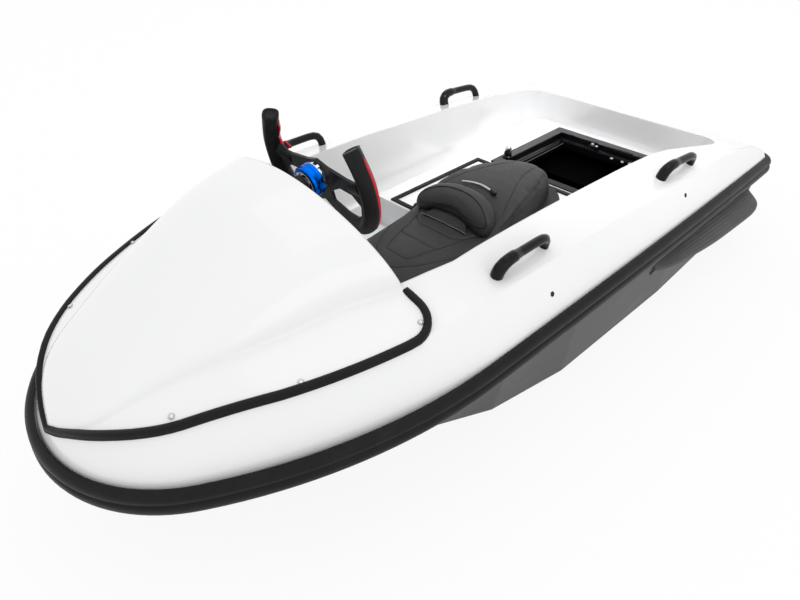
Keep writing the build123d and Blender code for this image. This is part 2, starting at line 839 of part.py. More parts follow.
def sponson(side):
    """A tapering fin that slopes out from the hull's aft quarter, with a rounded tail."""
    body = Solid.make_loft([sponson_section(*row) for row in sponson_stations], ruled=True)
    body = body - hull_envelope()
    if side == starboard:
        body = body.mirror(Plane.XZ)
    return body


def along_column(distance):
    """A place on the steering axis, forward of the wheel by a distance."""
    tilt = radians(column_tilt)
    x = wheel_station + distance * cos(tilt)
    z = wheel_height - distance * sin(tilt)
    return Pos(x, 0, z) * Rot(0, 90 + column_tilt, 0)


def on_wheel(points):
    """A face in the wheel's plane from places, each a breadth and a height over the hub."""
    face = make_face(Polyline(*[(-v, y) for y, v in points], close=True))
    return fillet(face.vertices(), plate_corner_radius)


def wheel_plate():
    """Flat plate with a hub, two upper spokes and two lower loops round the hand openings."""
    other = [(-y, v) for y, v in reversed(wheel_outline[1:-1])]
    plate = on_wheel(list(wheel_outline) + other)
    for side in (port, starboard):
        plate -= on_wheel([(side * y, v) for y, v in hand_hole])
    return along_column(0) * extrude(plate, amount=wheel_plate_thickness)


def wheel_grip(side):
    """A grip that stands up, leans out and bends in at its foot, slotted over the plate."""
    middle = wheel_plate_thickness / 2
    path = FilletPolyline(*[(-v, side * y, middle) for y, v in grip_line], radius=grip_bend)
    bar = sweep(Plane(path @ 0, z_dir=path % 0) * Circle(grip_radius), path=path)
    return along_column(0) * bar - wheel_plate()


def round_on_column(radius, start, end):
    """A disc or ring blank on the steering axis between two distances."""
    return along_column(start) * Cylinder(radius, end - start,
                                          align=(Align.CENTER, Align.CENTER, Align.MIN))


plate_front = wheel_plate_thickness
flange_end = plate_front + hub_flange_thickness
release_end = flange_end + release_length
column_start = release_end + column_gap
column_end = column_start + column_length


def hub_flange():
    return round_on_column(flange_radius, plate_front, flange_end)


def quick_release():
    return round_on_column(release_radius, flange_end, release_end)


def steering_shaft():
    return round_on_column(steering_shaft_radius, release_end, column_end + 2 * column_gap)


def column_tube():
    tube = round_on_column(column_radius, column_start, column_end)
    return tube - round_on_column(steering_shaft_radius + shaft_clearance, 0, column_end + overrun)


def steering_pedestal():
    """Post from the footwell's floor to the column tube, with a foot plate."""
    tilt = radians(column_tilt)
    grip = column_start + column_length * column_clamp_share
    head = (wheel_station + grip * cos(tilt), wheel_height - grip * sin(tilt))
    foot = slab(pedestal_station - pedestal_foot / 2, pedestal_station + pedestal_foot / 2,
                -pedestal_foot / 2, pedestal_foot / 2, footwell_height,
                footwell_height + pedestal_foot_thickness)
    points = (
        (pedestal_station - pedestal_depth / 2, 0, footwell_height),
        (pedestal_station + pedestal_depth / 2, 0, footwell_height),
        (head[0] + pedestal_depth / 2, 0, head[1]),
        (head[0] - pedestal_depth / 2, 0, head[1]),
    )
    face = Pos(0, pedestal_width / 2, 0) * make_face(Polyline(*points, close=True))
    post = extrude(face, amount=pedestal_width, dir=(0, -1, 0))
    return foot + post - round_on_column(column_radius, 0, column_end + overrun)


def on_pump(station, radius, run):
    """A round blank on the pump's axis."""
    return Pos(station + run / 2, 0, pump_axis_height) * Rot(0, 90, 0) * Cylinder(radius, run)


def pump_housing():
    body = on_pump(pump_rear, pump_radius, pump_length)
    for start in (pump_rear, pump_rear + pump_length - pump_flange_thickness):
        body += on_pump(start, pump_flange_radius, pump_flange_thickness)
    ear_low = nozzle_outer_radius + nozzle_ear_gap
    ear_rear = nozzle_pivot - nozzle_ear_half
    for side in (port, starboard):
        middle = pump_axis_height + side * (ear_low + nozzle_ear_thickness / 2)
        body += slab(ear_rear, pump_rear, -nozzle_ear_half, nozzle_ear_half,
                     middle - nozzle_ear_thickness / 2, middle + nozzle_ear_thickness / 2)
    body -= on_pump(pump_rear, pump_bore, pump_length)
    return body - Pos(nozzle_pivot, 0, pump_axis_height) * Cylinder(
        nozzle_pin_radius + shaft_clearance, 2 * pump_radius + overrun)


def jet_intake():
    """The duct block ahead of the pump, with its mouth in the hull's bottom."""
    rear = pump_rear + pump_length
    half = intake_mouth_half + intake_wall
    block = slab(rear, intake_front, -half, half, ride_plate_thickness, tunnel_roof)
    throat = on_pump(rear - overrun, pump_bore, 2 * overrun)
    duct_half = pump_bore * duct_half_share
    inner = Polyline(
        (rear - overrun, 0, pump_axis_height - pump_bore),
        (rear - overrun, 0, pump_axis_height + duct_half),
        (intake_mouth_rear + overrun, 0, pump_axis_height + duct_half),
        (intake_mouth_front, 0, -overrun),
        (intake_mouth_rear, 0, -overrun),
        (intake_mouth_rear - overrun, 0, pump_axis_height - pump_bore),
        close=True,
    )
    duct = extrude(Pos(0, duct_half, 0) * make_face(inner), amount=2 * duct_half, dir=(0, -1, 0))
    shaft_way = on_pump(rear, pump_shaft_radius + shaft_clearance, intake_front - rear + overrun)
    return block - throat - duct - shaft_way


def intake_grate():
    """Bars along the intake's mouth, held by a cross bar at each end."""
    half = pump_bore * duct_half_share
    bars = []
    for place in (intake_mouth_rear, intake_mouth_front - grate_height):
        bars.append(slab(place, place + grate_height, -intake_mouth_half, intake_mouth_half,
                         0, ride_plate_thickness))
    body = bars[0] + bars[1]
    pitch = 2 * half / (grate_bars + 1)
    for i in range(1, grate_bars + 1):
        y = -half + i * pitch
        body += slab(intake_mouth_rear, intake_mouth_front, y - grate_bar_width / 2,
                     y + grate_bar_width / 2, 0, ride_plate_thickness)
    return body


def ride_plate():
    """The flat plate that closes the tunnel below the pump."""
    return slab(pump_rear, intake_mouth_rear, -tunnel_half + overrun / 6, tunnel_half - overrun / 6,
                0, ride_plate_thickness)


def blade(reach, hub, run, sweep_angle, thickness):
    """One twisted blade, from the hub out."""
    section_low = Pos((hub + reach) / 2, 0, 0) * Rectangle(reach - hub + hub / 2, thickness)
    section_high = Pos(0, 0, run) * Rot(0, 0, sweep_angle) * section_low
    mid = Pos(0, 0, run / 2) * Rot(0, 0, sweep_angle / 2) * section_low
    return loft([section_low, mid, section_high])


def impeller():
    """Hub and twisted blades on the pump's axis."""
    hub = Cylinder(impeller_hub_radius, impeller_length,
                   align=(Align.CENTER, Align.CENTER, Align.MIN))
    one = blade(impeller_radius, impeller_hub_radius * blade_root_share,
                impeller_length * blade_run_share, impeller_sweep, blade_thickness)
    body = hub
    for i in range(impeller_blades):
        body += Pos(0, 0, impeller_length * blade_start_share) * Rot(0, 0, i * 360 / impeller_blades) * one
    body = body & Cylinder(impeller_radius, 3 * impeller_length)
    return Pos(impeller_station, 0, pump_axis_height) * Rot(0, 90, 0) * body


def drive_shaft():
    """Shaft from the motor's face through the intake to the impeller."""
    start = impeller_station + impeller_length
    return on_pump(start, pump_shaft_radius, motor_rear - seat_gap - start)


def stator():
    """Hub cone and straight vanes behind the impeller, ending in the pump's outlet."""
    start = pump_rear
    body = on_pump(start, stator_hub_radius, stator_length)
    for i in range(stator_vanes):
        vane = Pos(0, (pump_bore + stator_hub_radius) / 2, 0) * Box(
            stator_length * vane_run_share, pump_bore - stator_hub_radius + stator_hub_radius / 2,
            blade_thickness)
        body += Pos(start + stator_length / 2, 0, pump_axis_height) * Rot(
            i * 360 / stator_vanes, 0, 0) * vane
    return body & on_pump(start - overrun, pump_bore - seat_gap, pump_length)


def steering_nozzle():
    """The swivelling nozzle behind the pump."""
    profile = Polyline(
        (0, nozzle_outer_radius - nozzle_wall),
        (0, nozzle_outer_radius),
        (nozzle_length, nozzle_exit_radius + nozzle_wall),
        (nozzle_length, nozzle_exit_radius),
        close=True,
    )
    ring = revolve(make_face(profile), Axis.X)
    reach = nozzle_outer_radius + nozzle_ear_gap + nozzle_ear_thickness
    pins = Cylinder(nozzle_pin_radius, 2 * reach)
    hollow = Rot(0, 90, 0) * Cylinder(nozzle_outer_radius - nozzle_wall / 2, 2 * nozzle_length)
    return Pos(nozzle_pivot, 0, pump_axis_height) * (Rot(0, 180, 0) * ring + (pins - hollow))


def build():
    """Make every piece and save it under its name."""
    os.makedirs("parts", exist_ok=True)
    save("hull_shell", hull_shell())
    save("deck_moulding", deck_moulding())
    save("rub_rail", rub_rail())
    save("cowl", cowl())
    save("cowl_trim", cowl_trim())
    save("hatch_frame", hatch_frame())
    save("battery_block", battery_block())
    save("motor_block", motor_block())
    save("seat_base_frame", seat_base_frame())
    save("seat_base", seat_base())
    save("seat_saddle", seat_saddle())
    save("seat_bolster", seat_bolster())
    for side, name in sides:
        for place, station, breadth in handle_places:
            save("grab_handle_" + place + "_" + name, grab_handle(station, breadth, side))
        save("sponson_" + name, sponson(side))
        save("wheel_grip_" + name, wheel_grip(side))
    save("wheel_plate", wheel_plate())
    save("quick_release", quick_release())
    save("hub_flange", hub_flange())
    save("steering_shaft", steering_shaft())
    save("column_tube", column_tube())
    save("steering_pedestal", steering_pedestal())
    save("pump_housing", pump_housing())
    save("jet_intake", jet_intake())
    save("intake_grate", intake_grate())
    save("ride_plate", ride_plate())
    save("impeller", impeller())
    save("drive_shaft", drive_shaft())
    save("stator", stator())
    save("steering_nozzle", steering_nozzle())


build()
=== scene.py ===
import json
from math import cos, pi, radians, sin, sqrt, tan

import bmesh
import bpy
from mathutils import Matrix, Vector
from mathutils.bvhtree import BVHTree


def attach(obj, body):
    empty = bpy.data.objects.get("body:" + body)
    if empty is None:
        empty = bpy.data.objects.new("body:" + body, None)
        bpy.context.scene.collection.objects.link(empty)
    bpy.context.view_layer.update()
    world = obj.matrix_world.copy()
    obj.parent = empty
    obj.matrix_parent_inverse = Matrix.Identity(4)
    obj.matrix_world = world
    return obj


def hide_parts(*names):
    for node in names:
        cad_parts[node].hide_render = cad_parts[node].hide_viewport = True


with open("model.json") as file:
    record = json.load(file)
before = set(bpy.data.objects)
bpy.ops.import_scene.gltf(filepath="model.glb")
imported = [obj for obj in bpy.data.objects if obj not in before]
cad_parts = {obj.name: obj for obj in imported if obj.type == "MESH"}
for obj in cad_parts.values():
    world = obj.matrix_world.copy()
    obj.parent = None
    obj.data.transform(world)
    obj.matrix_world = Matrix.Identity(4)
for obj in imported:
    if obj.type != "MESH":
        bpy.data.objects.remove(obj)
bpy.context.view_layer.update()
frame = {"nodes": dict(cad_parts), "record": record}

# Electric mini jet boat, in metres. The origin is on the floor under the middle of the boat.
# Stations in the tables below are measured forward from the stern and moved back by half the
# length when they are used.
LENGTH = 2.325
HALF_LENGTH = LENGTH / 2
PORT = 1
STARBOARD = -1
SIDES = ((PORT, "port"), (STARBOARD, "starboard"))


# Shader maths

class Wire:
    """An output of a node, with the operators of a number."""

    def __init__(self, nodes, socket):
        self.nodes = nodes
        self.socket = socket

    def maths(self, operation, *others):
        return self.nodes.node("ShaderNodeMath", {"operation": operation}, dict(enumerate((self,) + others)))

    def __add__(self, other):
        return self.maths("ADD", other)

    def __mul__(self, other):
        return self.maths("MULTIPLY", other)

    __radd__ = __add__
    __rmul__ = __mul__

    def above(self, other):
        return self.maths("GREATER_THAN", other)

    def below(self, other):
        return self.maths("LESS_THAN", other)

    def most(self, other):
        return self.maths("MAXIMUM", other)

    def size(self):
        return self.maths("ABSOLUTE")

    def ramp(self, low, high):
        """0 below low, 1 above high, smooth between them."""
        return self.nodes.node("ShaderNodeMapRange", {"interpolation_type": "SMOOTHSTEP"},
                               {"Value": self, "From Min": low, "From Max": high})


class Nodes:
    """A tree of shader nodes."""

    def __init__(self, tree):
        self.tree = tree

    def node(self, kind, settings=None, sockets=None, output=0):
        """Add a node: its settings first, then the values or wires of its sockets."""
        node = self.tree.nodes.new(kind)
        for name, value in (settings or {}).items():
            setattr(node, name, value)
        for name, value in (sockets or {}).items():
            if isinstance(value, Wire):
                self.tree.links.new(value.socket, node.inputs[name])
            else:
                node.inputs[name].default_value = value
        return Wire(self, node.outputs[output])


class Finish(Nodes):
    """One material: its tree, its shader and the nodes that feed it."""

    def __init__(self, name, colour, roughness, **fixed):
        self.material = bpy.data.materials.new(name)
        self.material.use_nodes = True
        self.material.diffuse_color = (*colour, 1)
        super().__init__(self.material.node_tree)
        self.shader = self.tree.nodes["Principled BSDF"]
        self.shader.inputs["Base Color"].default_value = (*colour, 1)
        self.shader.inputs["Roughness"].default_value = roughness
        self.colour = (*colour, 1)
        self.heights = None
        for socket, value in fixed.items():
            title = socket.replace("_", " ").title().replace("Ior", "IOR")
            self.shader.inputs[title].default_value = value

    def feed(self, socket, wire):
        self.tree.links.new(wire.socket, self.shader.inputs[socket])

    def place(self, stretch=(1, 1, 1)):
        """Object coordinates, stretched."""
        where = self.node("ShaderNodeTexCoord", output=3)
        return self.node("ShaderNodeMapping", {}, {"Vector": where, "Scale": stretch})

    def axes(self, place):
        """The three numbers of a place."""
        return [self.node("ShaderNodeSeparateXYZ", {}, {"Vector": place}, output) for output in range(3)]

    def noise(self, scale, detail=2.0, roughness=0.5, place=None):
        return self.node("ShaderNodeTexNoise", {}, {"Vector": place or self.place(), "Scale": scale,
                                                    "Detail": detail, "Roughness": roughness})

    def cells(self, scale, feature="F1"):
        return self.node("ShaderNodeTexVoronoi", {"feature": feature},
                         {"Vector": self.place(), "Scale": scale})

    def mix(self, share, first, second):
        """A colour between two colours."""
        return self.node("ShaderNodeMix", {"data_type": "RGBA"}, {0: share, 6: first, 7: second}, 2)

    def tint(self, share, colour):
        """Mix another colour into the base colour."""
        inputs = self.shader.inputs["Base Color"]
        before = Wire(self, inputs.links[0].from_socket) if inputs.is_linked else self.colour
        self.feed("Base Color", self.mix(share, before, (*colour, 1)))

    def relief(self, height, distance, strength=1.0):
        """Add a height to the surface's bump."""
        sockets = {"Height": height, "Distance": distance, "Strength": strength}
        if self.heights is not None:
            sockets["Normal"] = self.heights
        self.heights = self.node("ShaderNodeBump", {}, sockets)
        self.feed("Normal", self.heights)

    def soft_edges(self, radius):
        """Shade the sharp edges as if they were rounded."""
        self.heights = self.node("ShaderNodeBevel", {"samples": 4}, {"Radius": radius})
        self.feed("Normal", self.heights)

    def rough(self, low, high, share):
        self.feed("Roughness", low + (high - low) * share)


def gelcoat():
    """Glossy white gelcoat with a very slight orange peel."""
    finish = Finish("gelcoat_white", (0.91, 0.912, 0.918), 0.16, coat_weight=0.5, coat_roughness=0.05)
    finish.soft_edges(0.006)
    finish.relief(finish.noise(9.0, 2.0), 0.004, 0.12)
    finish.relief(finish.noise(420.0, 1.0), 0.0001, 0.10)
    finish.rough(0.13, 0.20, finish.noise(5.0, 3.0))
    return finish.material


def rubber(name, shade, low, high, grain):
    """Black rubber or soft plastic with a fine grain and slightly greyer worn places."""
    finish = Finish(name, (shade, shade, shade * 1.05), (low + high) / 2, specular_ior_level=0.16)
    finish.soft_edges(0.002)
    finish.relief(finish.noise(grain, 3.0, 0.6), 0.0003, 0.35)
    wear = finish.noise(14.0, 5.0, 0.65).ramp(0.45, 0.75)
    finish.tint(wear * 0.35, (shade * 2.2, shade * 2.2, shade * 2.3))
    finish.rough(low, high, finish.noise(24.0, 4.0))
    return finish.material


def moulded(name, colour, low, high, grain, depth=0.0003, shine=0.22):
    """Textured plastic: a close pebble grain."""
    finish = Finish(name, colour, (low + high) / 2, specular_ior_level=shine)
    finish.soft_edges(0.0015)
    finish.relief(finish.cells(grain), depth, 0.5)
    finish.tint(finish.noise(7.0, 4.0).ramp(0.4, 0.8) * 0.3, [c * 1.5 for c in colour])
    finish.rough(low, high, finish.noise(30.0, 3.0))
    return finish.material


# Machinery bay, where the hull gets painted shade: near black and dull
BAY_ENDS = (-0.888, -0.088)
BAY_HALF = 0.2255
BAY_HEIGHTS = (0.0335, 0.249)
BAY_PAINTED_SHADE = (0.001, 0.001, 0.001)
BAY_DULLNESS = 3.0


def hull_plastic():
    """Dark grey hull with faint fore-and-aft flow marks and scuffs, and painted shade in the machinery bay,
    where it is near black, metallic and dull.
    """
    finish = Finish("hull_grey", (0.045, 0.046, 0.048), 0.4, specular_ior_level=0.3)
    finish.soft_edges(0.004)
    flow = finish.noise(22.0, 5.0, 0.6, finish.place((0.25, 1.4, 1.4)))
    finish.relief(flow, 0.0006, 0.2)
    finish.relief(finish.noise(600.0, 2.0), 0.0002, 0.25)
    finish.tint(flow.ramp(0.45, 0.8) * 0.35, (0.11, 0.112, 0.118))
    x, y, z = finish.axes(finish.place())
    # Painted shade: in the machinery bay the hull is tinted near black and made metallic and dull, so no
    # light shows there.
    bay_shade_mask = x.above(BAY_ENDS[0]) * x.below(BAY_ENDS[1])
    bay_shade_mask *= y.size().below(BAY_HALF)
    bay_shade_mask *= z.above(BAY_HEIGHTS[0]) * z.below(BAY_HEIGHTS[1])
    finish.tint(bay_shade_mask, BAY_PAINTED_SHADE)
    finish.feed("Metallic", bay_shade_mask)
    finish.rough(0.34, 0.52, flow + bay_shade_mask * BAY_DULLNESS)
    return finish.material


def metal(name, colour, low, high, grain, stretch=(1, 1, 1), depth=0.0001, strength=0.2):
    """Metal with a brushed, turned or cast surface."""
    finish = Finish(name, colour, (low + high) / 2, metallic=1.0)
    finish.soft_edges(0.001)
    marks = finish.noise(grain, 4.0, 0.6, finish.place(stretch))
    finish.relief(marks, depth, strength)
    finish.rough(low, high, marks)
    return finish.material


def leather(name, colour):
    """Grained vinyl: pebbles, fine creases and slightly rubbed high places."""
    finish = Finish(name, colour, 0.45, specular_ior_level=0.35)
    pebbles = finish.cells(520.0, "DISTANCE_TO_EDGE")
    finish.relief(pebbles.ramp(0.0, 0.22), 0.0004, 0.35)
    finish.relief(finish.noise(60.0, 4.0, 0.6), 0.0012, 0.25)
    finish.tint(finish.noise(11.0, 5.0, 0.6).ramp(0.4, 0.8) * 0.4, [c * 1.6 for c in colour])
    finish.rough(0.36, 0.55, finish.noise(35.0, 4.0))
    return finish.material


GELCOAT = gelcoat()
HULL = hull_plastic()
RAIL = rubber("rail_rubber", 0.009, 0.36, 0.52, 700.0)
TRIM = rubber("trim_rubber", 0.007, 0.34, 0.50, 900.0)
GRIP = rubber("grip_rubber", 0.009, 0.34, 0.50, 1500.0)
HANDLE = rubber("handle_plastic", 0.007, 0.12, 0.22, 1200.0)
PLASTIC = moulded("black_plastic", (0.010, 0.010, 0.011), 0.38, 0.55, 900.0)
GLOSS = moulded("gloss_black", (0.004, 0.004, 0.005), 0.10, 0.20, 1400.0, 0.00005)
WING = moulded("wing_plastic", (0.085, 0.085, 0.088), 0.45, 0.60, 1200.0)
CASE = moulded("battery_case", (0.002, 0.002, 0.002), 0.85, 0.95, 500.0, shine=0.0)
SATIN = moulded("satin_grey", (0.40, 0.40, 0.41), 0.32, 0.46, 900.0)
COVER = leather("seat_cover", (0.016, 0.016, 0.017))
THREAD = moulded("seam_thread", (0.010, 0.010, 0.011), 0.55, 0.70, 2000.0)
STITCH = moulded("light_stitch", (0.45, 0.45, 0.45), 0.55, 0.70, 2000.0)
KNIT = moulded("knit_panel", (0.034, 0.034, 0.035), 0.65, 0.80, 2600.0)
RED = moulded("red_strip", (0.50, 0.003, 0.012), 0.25, 0.36, 1800.0, 0.0001)
CRIMSON = metal("crimson_inlay", (0.52, 0.008, 0.035), 0.20, 0.34, 700.0)
BLUE = metal("ring_blue", (0.0, 0.14, 0.74), 0.18, 0.28, 2600.0, strength=0.02)
CHROME = metal("ring_chrome", (0.72, 0.73, 0.75), 0.06, 0.16, 600.0, strength=0.04)
STEEL = metal("steel", (0.52, 0.53, 0.55), 0.22, 0.40, 500.0, (0.1, 1, 1))
POWDER = moulded("black_metal", (0.008, 0.008, 0.009), 0.30, 0.45, 1600.0, 0.00015)
ALLOY = metal("pump_alloy", (0.55, 0.56, 0.58), 0.28, 0.48, 260.0, depth=0.0004, strength=0.35)

SLOT_MATERIALS = {
    "hull_grey": HULL, "gelcoat_white": GELCOAT, "rail_rubber": RAIL, "trim_rubber": TRIM,
    "black_plastic": PLASTIC, "seat_cover": COVER, "grip_rubber": GRIP, "ring_blue": BLUE,
    "ring_chrome": CHROME, "steel": STEEL, "black_metal": POWDER, "pump_alloy": ALLOY,
    "battery_case": CASE,
}

for subpart in frame["record"]["subparts"]:
    node = frame["nodes"][subpart["node"]]
    node.data.materials.clear()
    node.data.materials.append(SLOT_MATERIALS[subpart["material_slot"]])


# Shapes shared by the pieces

def deselect():
    for thing in bpy.context.selected_objects:
        thing.select_set(False)


def only(piece):
    """Select one piece and make it the active one."""
    deselect()
    piece.select_set(True)
    bpy.context.view_layer.objects.active = piece
    return piece


def through(table, place, column=1):
    """Value of a column at a place in the first column, on a smooth curve through the rows."""
    if place <= table[0][0]:
        return table[0][column]
    if place >= table[-1][0]:
        return table[-1][column]
    last = len(table) - 1
    i = next(k for k in range(last) if place <= table[k + 1][0])
    rise = [(table[k + 1][column] - table[k][column]) / (table[k + 1][0] - table[k][0]) for k in range(last)]

    def slope(k):
        if k in (0, last):
            return rise[min(k, last - 1)]
        before, after = rise[k - 1], rise[k]
        return 0 if before * after <= 0 else 2 * before * after / (before + after)

    span = table[i + 1][0] - table[i][0]
    t = (place - table[i][0]) / span
    return ((1 + 2 * t) * (1 - t) ** 2 * table[i][column] + t * (1 - t) ** 2 * span * slope(i)
            + t * t * (3 - 2 * t) * table[i + 1][column] + t * t * (t - 1) * span * slope(i + 1))


def arc_height(places, station):
    """Height at a station of the arc through three places, each a station and a height."""
    (x1, z1), (x2, z2), (x3, z3) = places
    twice = 2 * (x1 * (z2 - z3) + x2 * (z3 - z1) + x3 * (z1 - z2))
    squares = [x * x + z * z for x, z in places]
    middle_x = (squares[0] * (z2 - z3) + squares[1] * (z3 - z1) + squares[2] * (z1 - z2)) / twice
    middle_z = (squares[0] * (x3 - x2) + squares[1] * (x1 - x3) + squares[2] * (x2 - x1)) / twice
    reach = (x1 - middle_x) ** 2 + (z1 - middle_z) ** 2
    return middle_z + sqrt(reach - (station - middle_x) ** 2)


def skin(name, rows, around=False, closed=False):
    """A surface through rows of places; around joins the rows' ends, closed the first and last row."""
    deselect()
    across, along = len(rows[0]), len(rows)
    bpy.ops.mesh.primitive_grid_add(x_subdivisions=across - 1, y_subdivisions=along - 1, size=1)
    piece = bpy.context.object
    piece.name = name
    for i, row in enumerate(rows):
        for j, place in enumerate(row):
            piece.data.vertices[i * across + j].co = place
    work = bmesh.new()
    work.from_mesh(piece.data)
    work.verts.ensure_lookup_table()
    if around:
        for i in range(along - 1):
            low, high = i * across, (i + 1) * across
            work.faces.new([work.verts[k] for k in (low + across - 1, low, high, high + across - 1)])
    if closed:
        last = (along - 1) * across
        for j in range(across - 1 + around):
            after = (j + 1) % across
            work.faces.new([work.verts[k] for k in (last + j, last + after, after, j)])
    bmesh.ops.remove_doubles(work, verts=work.verts, dist=0.00005)
    bmesh.ops.recalc_face_normals(work, faces=work.faces)
    work.to_mesh(piece.data)
    work.free()
    return piece


def add_modifier(piece, kind, **settings):
    """Add a modifier, set it and apply it."""
    only(piece)
    modifier = piece.modifiers.new(kind.lower(), kind)
    for name, value in settings.items():
        setattr(modifier, name, value)
    bpy.ops.object.modifier_apply(modifier=modifier.name)
    return piece


def subdivide(piece, levels=2):
    return add_modifier(piece, "SUBSURF", levels=levels, render_levels=levels)


def finish_piece(piece, material, body="boat", replaces=(), angle=40):
    """Shade a piece, give it its material, attach it to the body it rides on and hide the parts it replaces.
    """
    only(piece)
    bpy.ops.object.shade_smooth_by_angle(angle=radians(angle))
    piece.data.materials.clear()
    piece.data.materials.append(material)
    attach(piece, body)
    if replaces:
        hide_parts(*replaces)
    return piece


# Lines of the hull and deck, in metres. Each place is a station and a height

JOINT = ((0.0, 0.250), (1.210, 0.308), (2.325, 0.252))
KNUCKLE_ARCS = (
    ((0.150, 0.345), (0.690, 0.404), (1.400, 0.432)),
    ((1.400, 0.432), (1.700, 0.411), (1.962, 0.369)),
    ((1.962, 0.369), (2.099, 0.333), (2.210, 0.282)),
)
KNUCKLE_REFERENCE = 0.455
DECK_TILT = radians(16.0)
DECK_SLOPE = tan(DECK_TILT)
SIDE_TILT = radians(22.5)
SIDE_LEAN = tan(SIDE_TILT)
WIDEST_STATION = 1.210
HALF_BEAM = 0.500
STERN_LINE = 0.020
STERN_RADIUS = 0.045
BOW_RADIUS = 0.369
BOW_MIDDLE = LENGTH - STERN_LINE - BOW_RADIUS
SIDE_TURN = radians(1.43)
BOW_TURN = radians(33.7)


def side_arcs(half):
    """Radius and middle of the long side arc and of the bow's side arc."""
    along = (sin(SIDE_TURN), sin(BOW_TURN) - sin(SIDE_TURN))
    across = (cos(SIDE_TURN) - 1, cos(BOW_TURN) - cos(SIDE_TURN))
    reach = BOW_MIDDLE - WIDEST_STATION + BOW_RADIUS * sin(BOW_TURN)
    fall = BOW_RADIUS * cos(BOW_TURN) - half
    scale = along[0] * across[1] - along[1] * across[0]
    long_radius = (reach * across[1] - along[1] * fall) / scale
    bow_radius = (along[0] * fall - reach * across[0]) / scale
    step = long_radius - bow_radius
    long_middle = (WIDEST_STATION, half - long_radius)
    bow_middle = (WIDEST_STATION + step * sin(SIDE_TURN), long_middle[1] + step * cos(SIDE_TURN))
    return (long_radius, long_middle), (bow_radius, bow_middle)


def half_breadth(station, outset=0.0, half=HALF_BEAM):
    """Half breadth of the joint line at a station, moved out by outset."""
    (long_radius, long_middle), (bow_radius, bow_middle) = side_arcs(half)
    if station <= WIDEST_STATION + (long_radius + outset) * sin(SIDE_TURN):
        return long_middle[1] + sqrt((long_radius + outset) ** 2 - (station - WIDEST_STATION) ** 2)
    if station <= bow_middle[0] + (bow_radius + outset) * sin(BOW_TURN):
        return bow_middle[1] + sqrt((bow_radius + outset) ** 2 - (station - bow_middle[0]) ** 2)
    return sqrt(max((BOW_RADIUS + outset) ** 2 - (station - BOW_MIDDLE) ** 2, 0))


DECK_HALF_BEAM = HALF_BEAM + (JOINT[1][1] - JOINT[0][1]) * SIDE_LEAN


def side_deck_height(station, breadth):
    """Height of the side deck's slope."""
    arc = next((arc for arc in KNUCKLE_ARCS if station <= arc[2][0]), KNUCKLE_ARCS[-1])
    return arc_height(arc, station) + DECK_SLOPE * (KNUCKLE_REFERENCE - breadth)


def knuckle(station):
    """Half breadth and height where the side deck meets the leaning side."""
    breadth = KNUCKLE_REFERENCE
    for _ in range(12):
        height = side_deck_height(station, breadth)
        breadth = half_breadth(station, -(height - JOINT[0][1]) * SIDE_LEAN, DECK_HALF_BEAM)
    return breadth, height


# Cowl: a bubble on a flange that lies on the side decks, in one moulding. Columns of the crest: station,
# height; of the foot: station, half breadth; of the nose's edge: station, half breadth, height

COWL_CREST = ((1.60, 0.657), (1.70, 0.657), (1.80, 0.643), (1.90, 0.597), (2.00, 0.539), (2.10, 0.479),
              (2.20, 0.416), (2.25, 0.370), (2.275, 0.335), (2.286, 0.312))
COWL_FOOT = ((1.60, 0.326), (1.66, 0.315), (1.73, 0.288), (1.85, 0.262), (1.964, 0.229), (2.042, 0.204),
             (2.124, 0.170), (2.206, 0.138), (2.25, 0.100), (2.275, 0.044), (2.286, 0.003))
COWL_NOSE_EDGE = ((2.16, 0.2255, 0.3735), (2.180, 0.2075, 0.3692), (2.206, 0.1790, 0.3625),
                  (2.245, 0.1200, 0.3455), (2.266, 0.0720, 0.3290), (2.280, 0.0300, 0.3120),
                  (2.286, 0.0040, 0.3040))
COWL_ROUND = 2.05
COWL_FULL = 1.85
COWL_REAR = 1.624
COWL_REAR_HEIGHT = 0.457
COWL_REAR_LEAN = 0.34
COWL_CORNER = 0.062
COWL_WALL = 0.005
FLANGE_LIFT = 0.004
FLANGE_SHARES = (0.0, 0.03, 0.35, 0.72)
CROWN_TURNS = (0, 9, 19, 30, 42, 54, 66, 78, 90)
COWL_STATIONS = (1.76, 1.80, 1.85, 1.90, 1.95, 2.00, 2.05, 2.10, 2.145, 2.185, 2.217, 2.242, 2.26, 2.273,
                 2.281, 2.2855)
REAR_SHARES = (0.06, 0.35, 0.68)


def cowl_edge(station):
    """Half breadth and height of the flange's outer edge."""
    if station > COWL_NOSE_EDGE[0][0]:
        return through(COWL_NOSE_EDGE, station, 1), through(COWL_NOSE_EDGE, station, 2)
    breadth, height = knuckle(station)
    return min(breadth, knuckle(COWL_REAR + COWL_CORNER)[0]), height


def flange_height(station, breadth):
    """Height of the flange between the bubble's foot and the outer edge."""
    if station <= COWL_NOSE_EDGE[0][0]:
        return side_deck_height(station, breadth) + FLANGE_LIFT
    edge_breadth, edge_height = cowl_edge(station)
    return edge_height + FLANGE_LIFT + DECK_SLOPE * (edge_breadth - breadth)


def bubble_height(station, share):
    """Height of the bubble at a share of its half breadth."""
    foot = flange_height(station, through(COWL_FOOT, station))
    crown = (1 - min(abs(share), 1) ** COWL_ROUND) ** (1 / COWL_FULL)
    return foot + max(through(COWL_CREST, station) - foot, 0) * crown


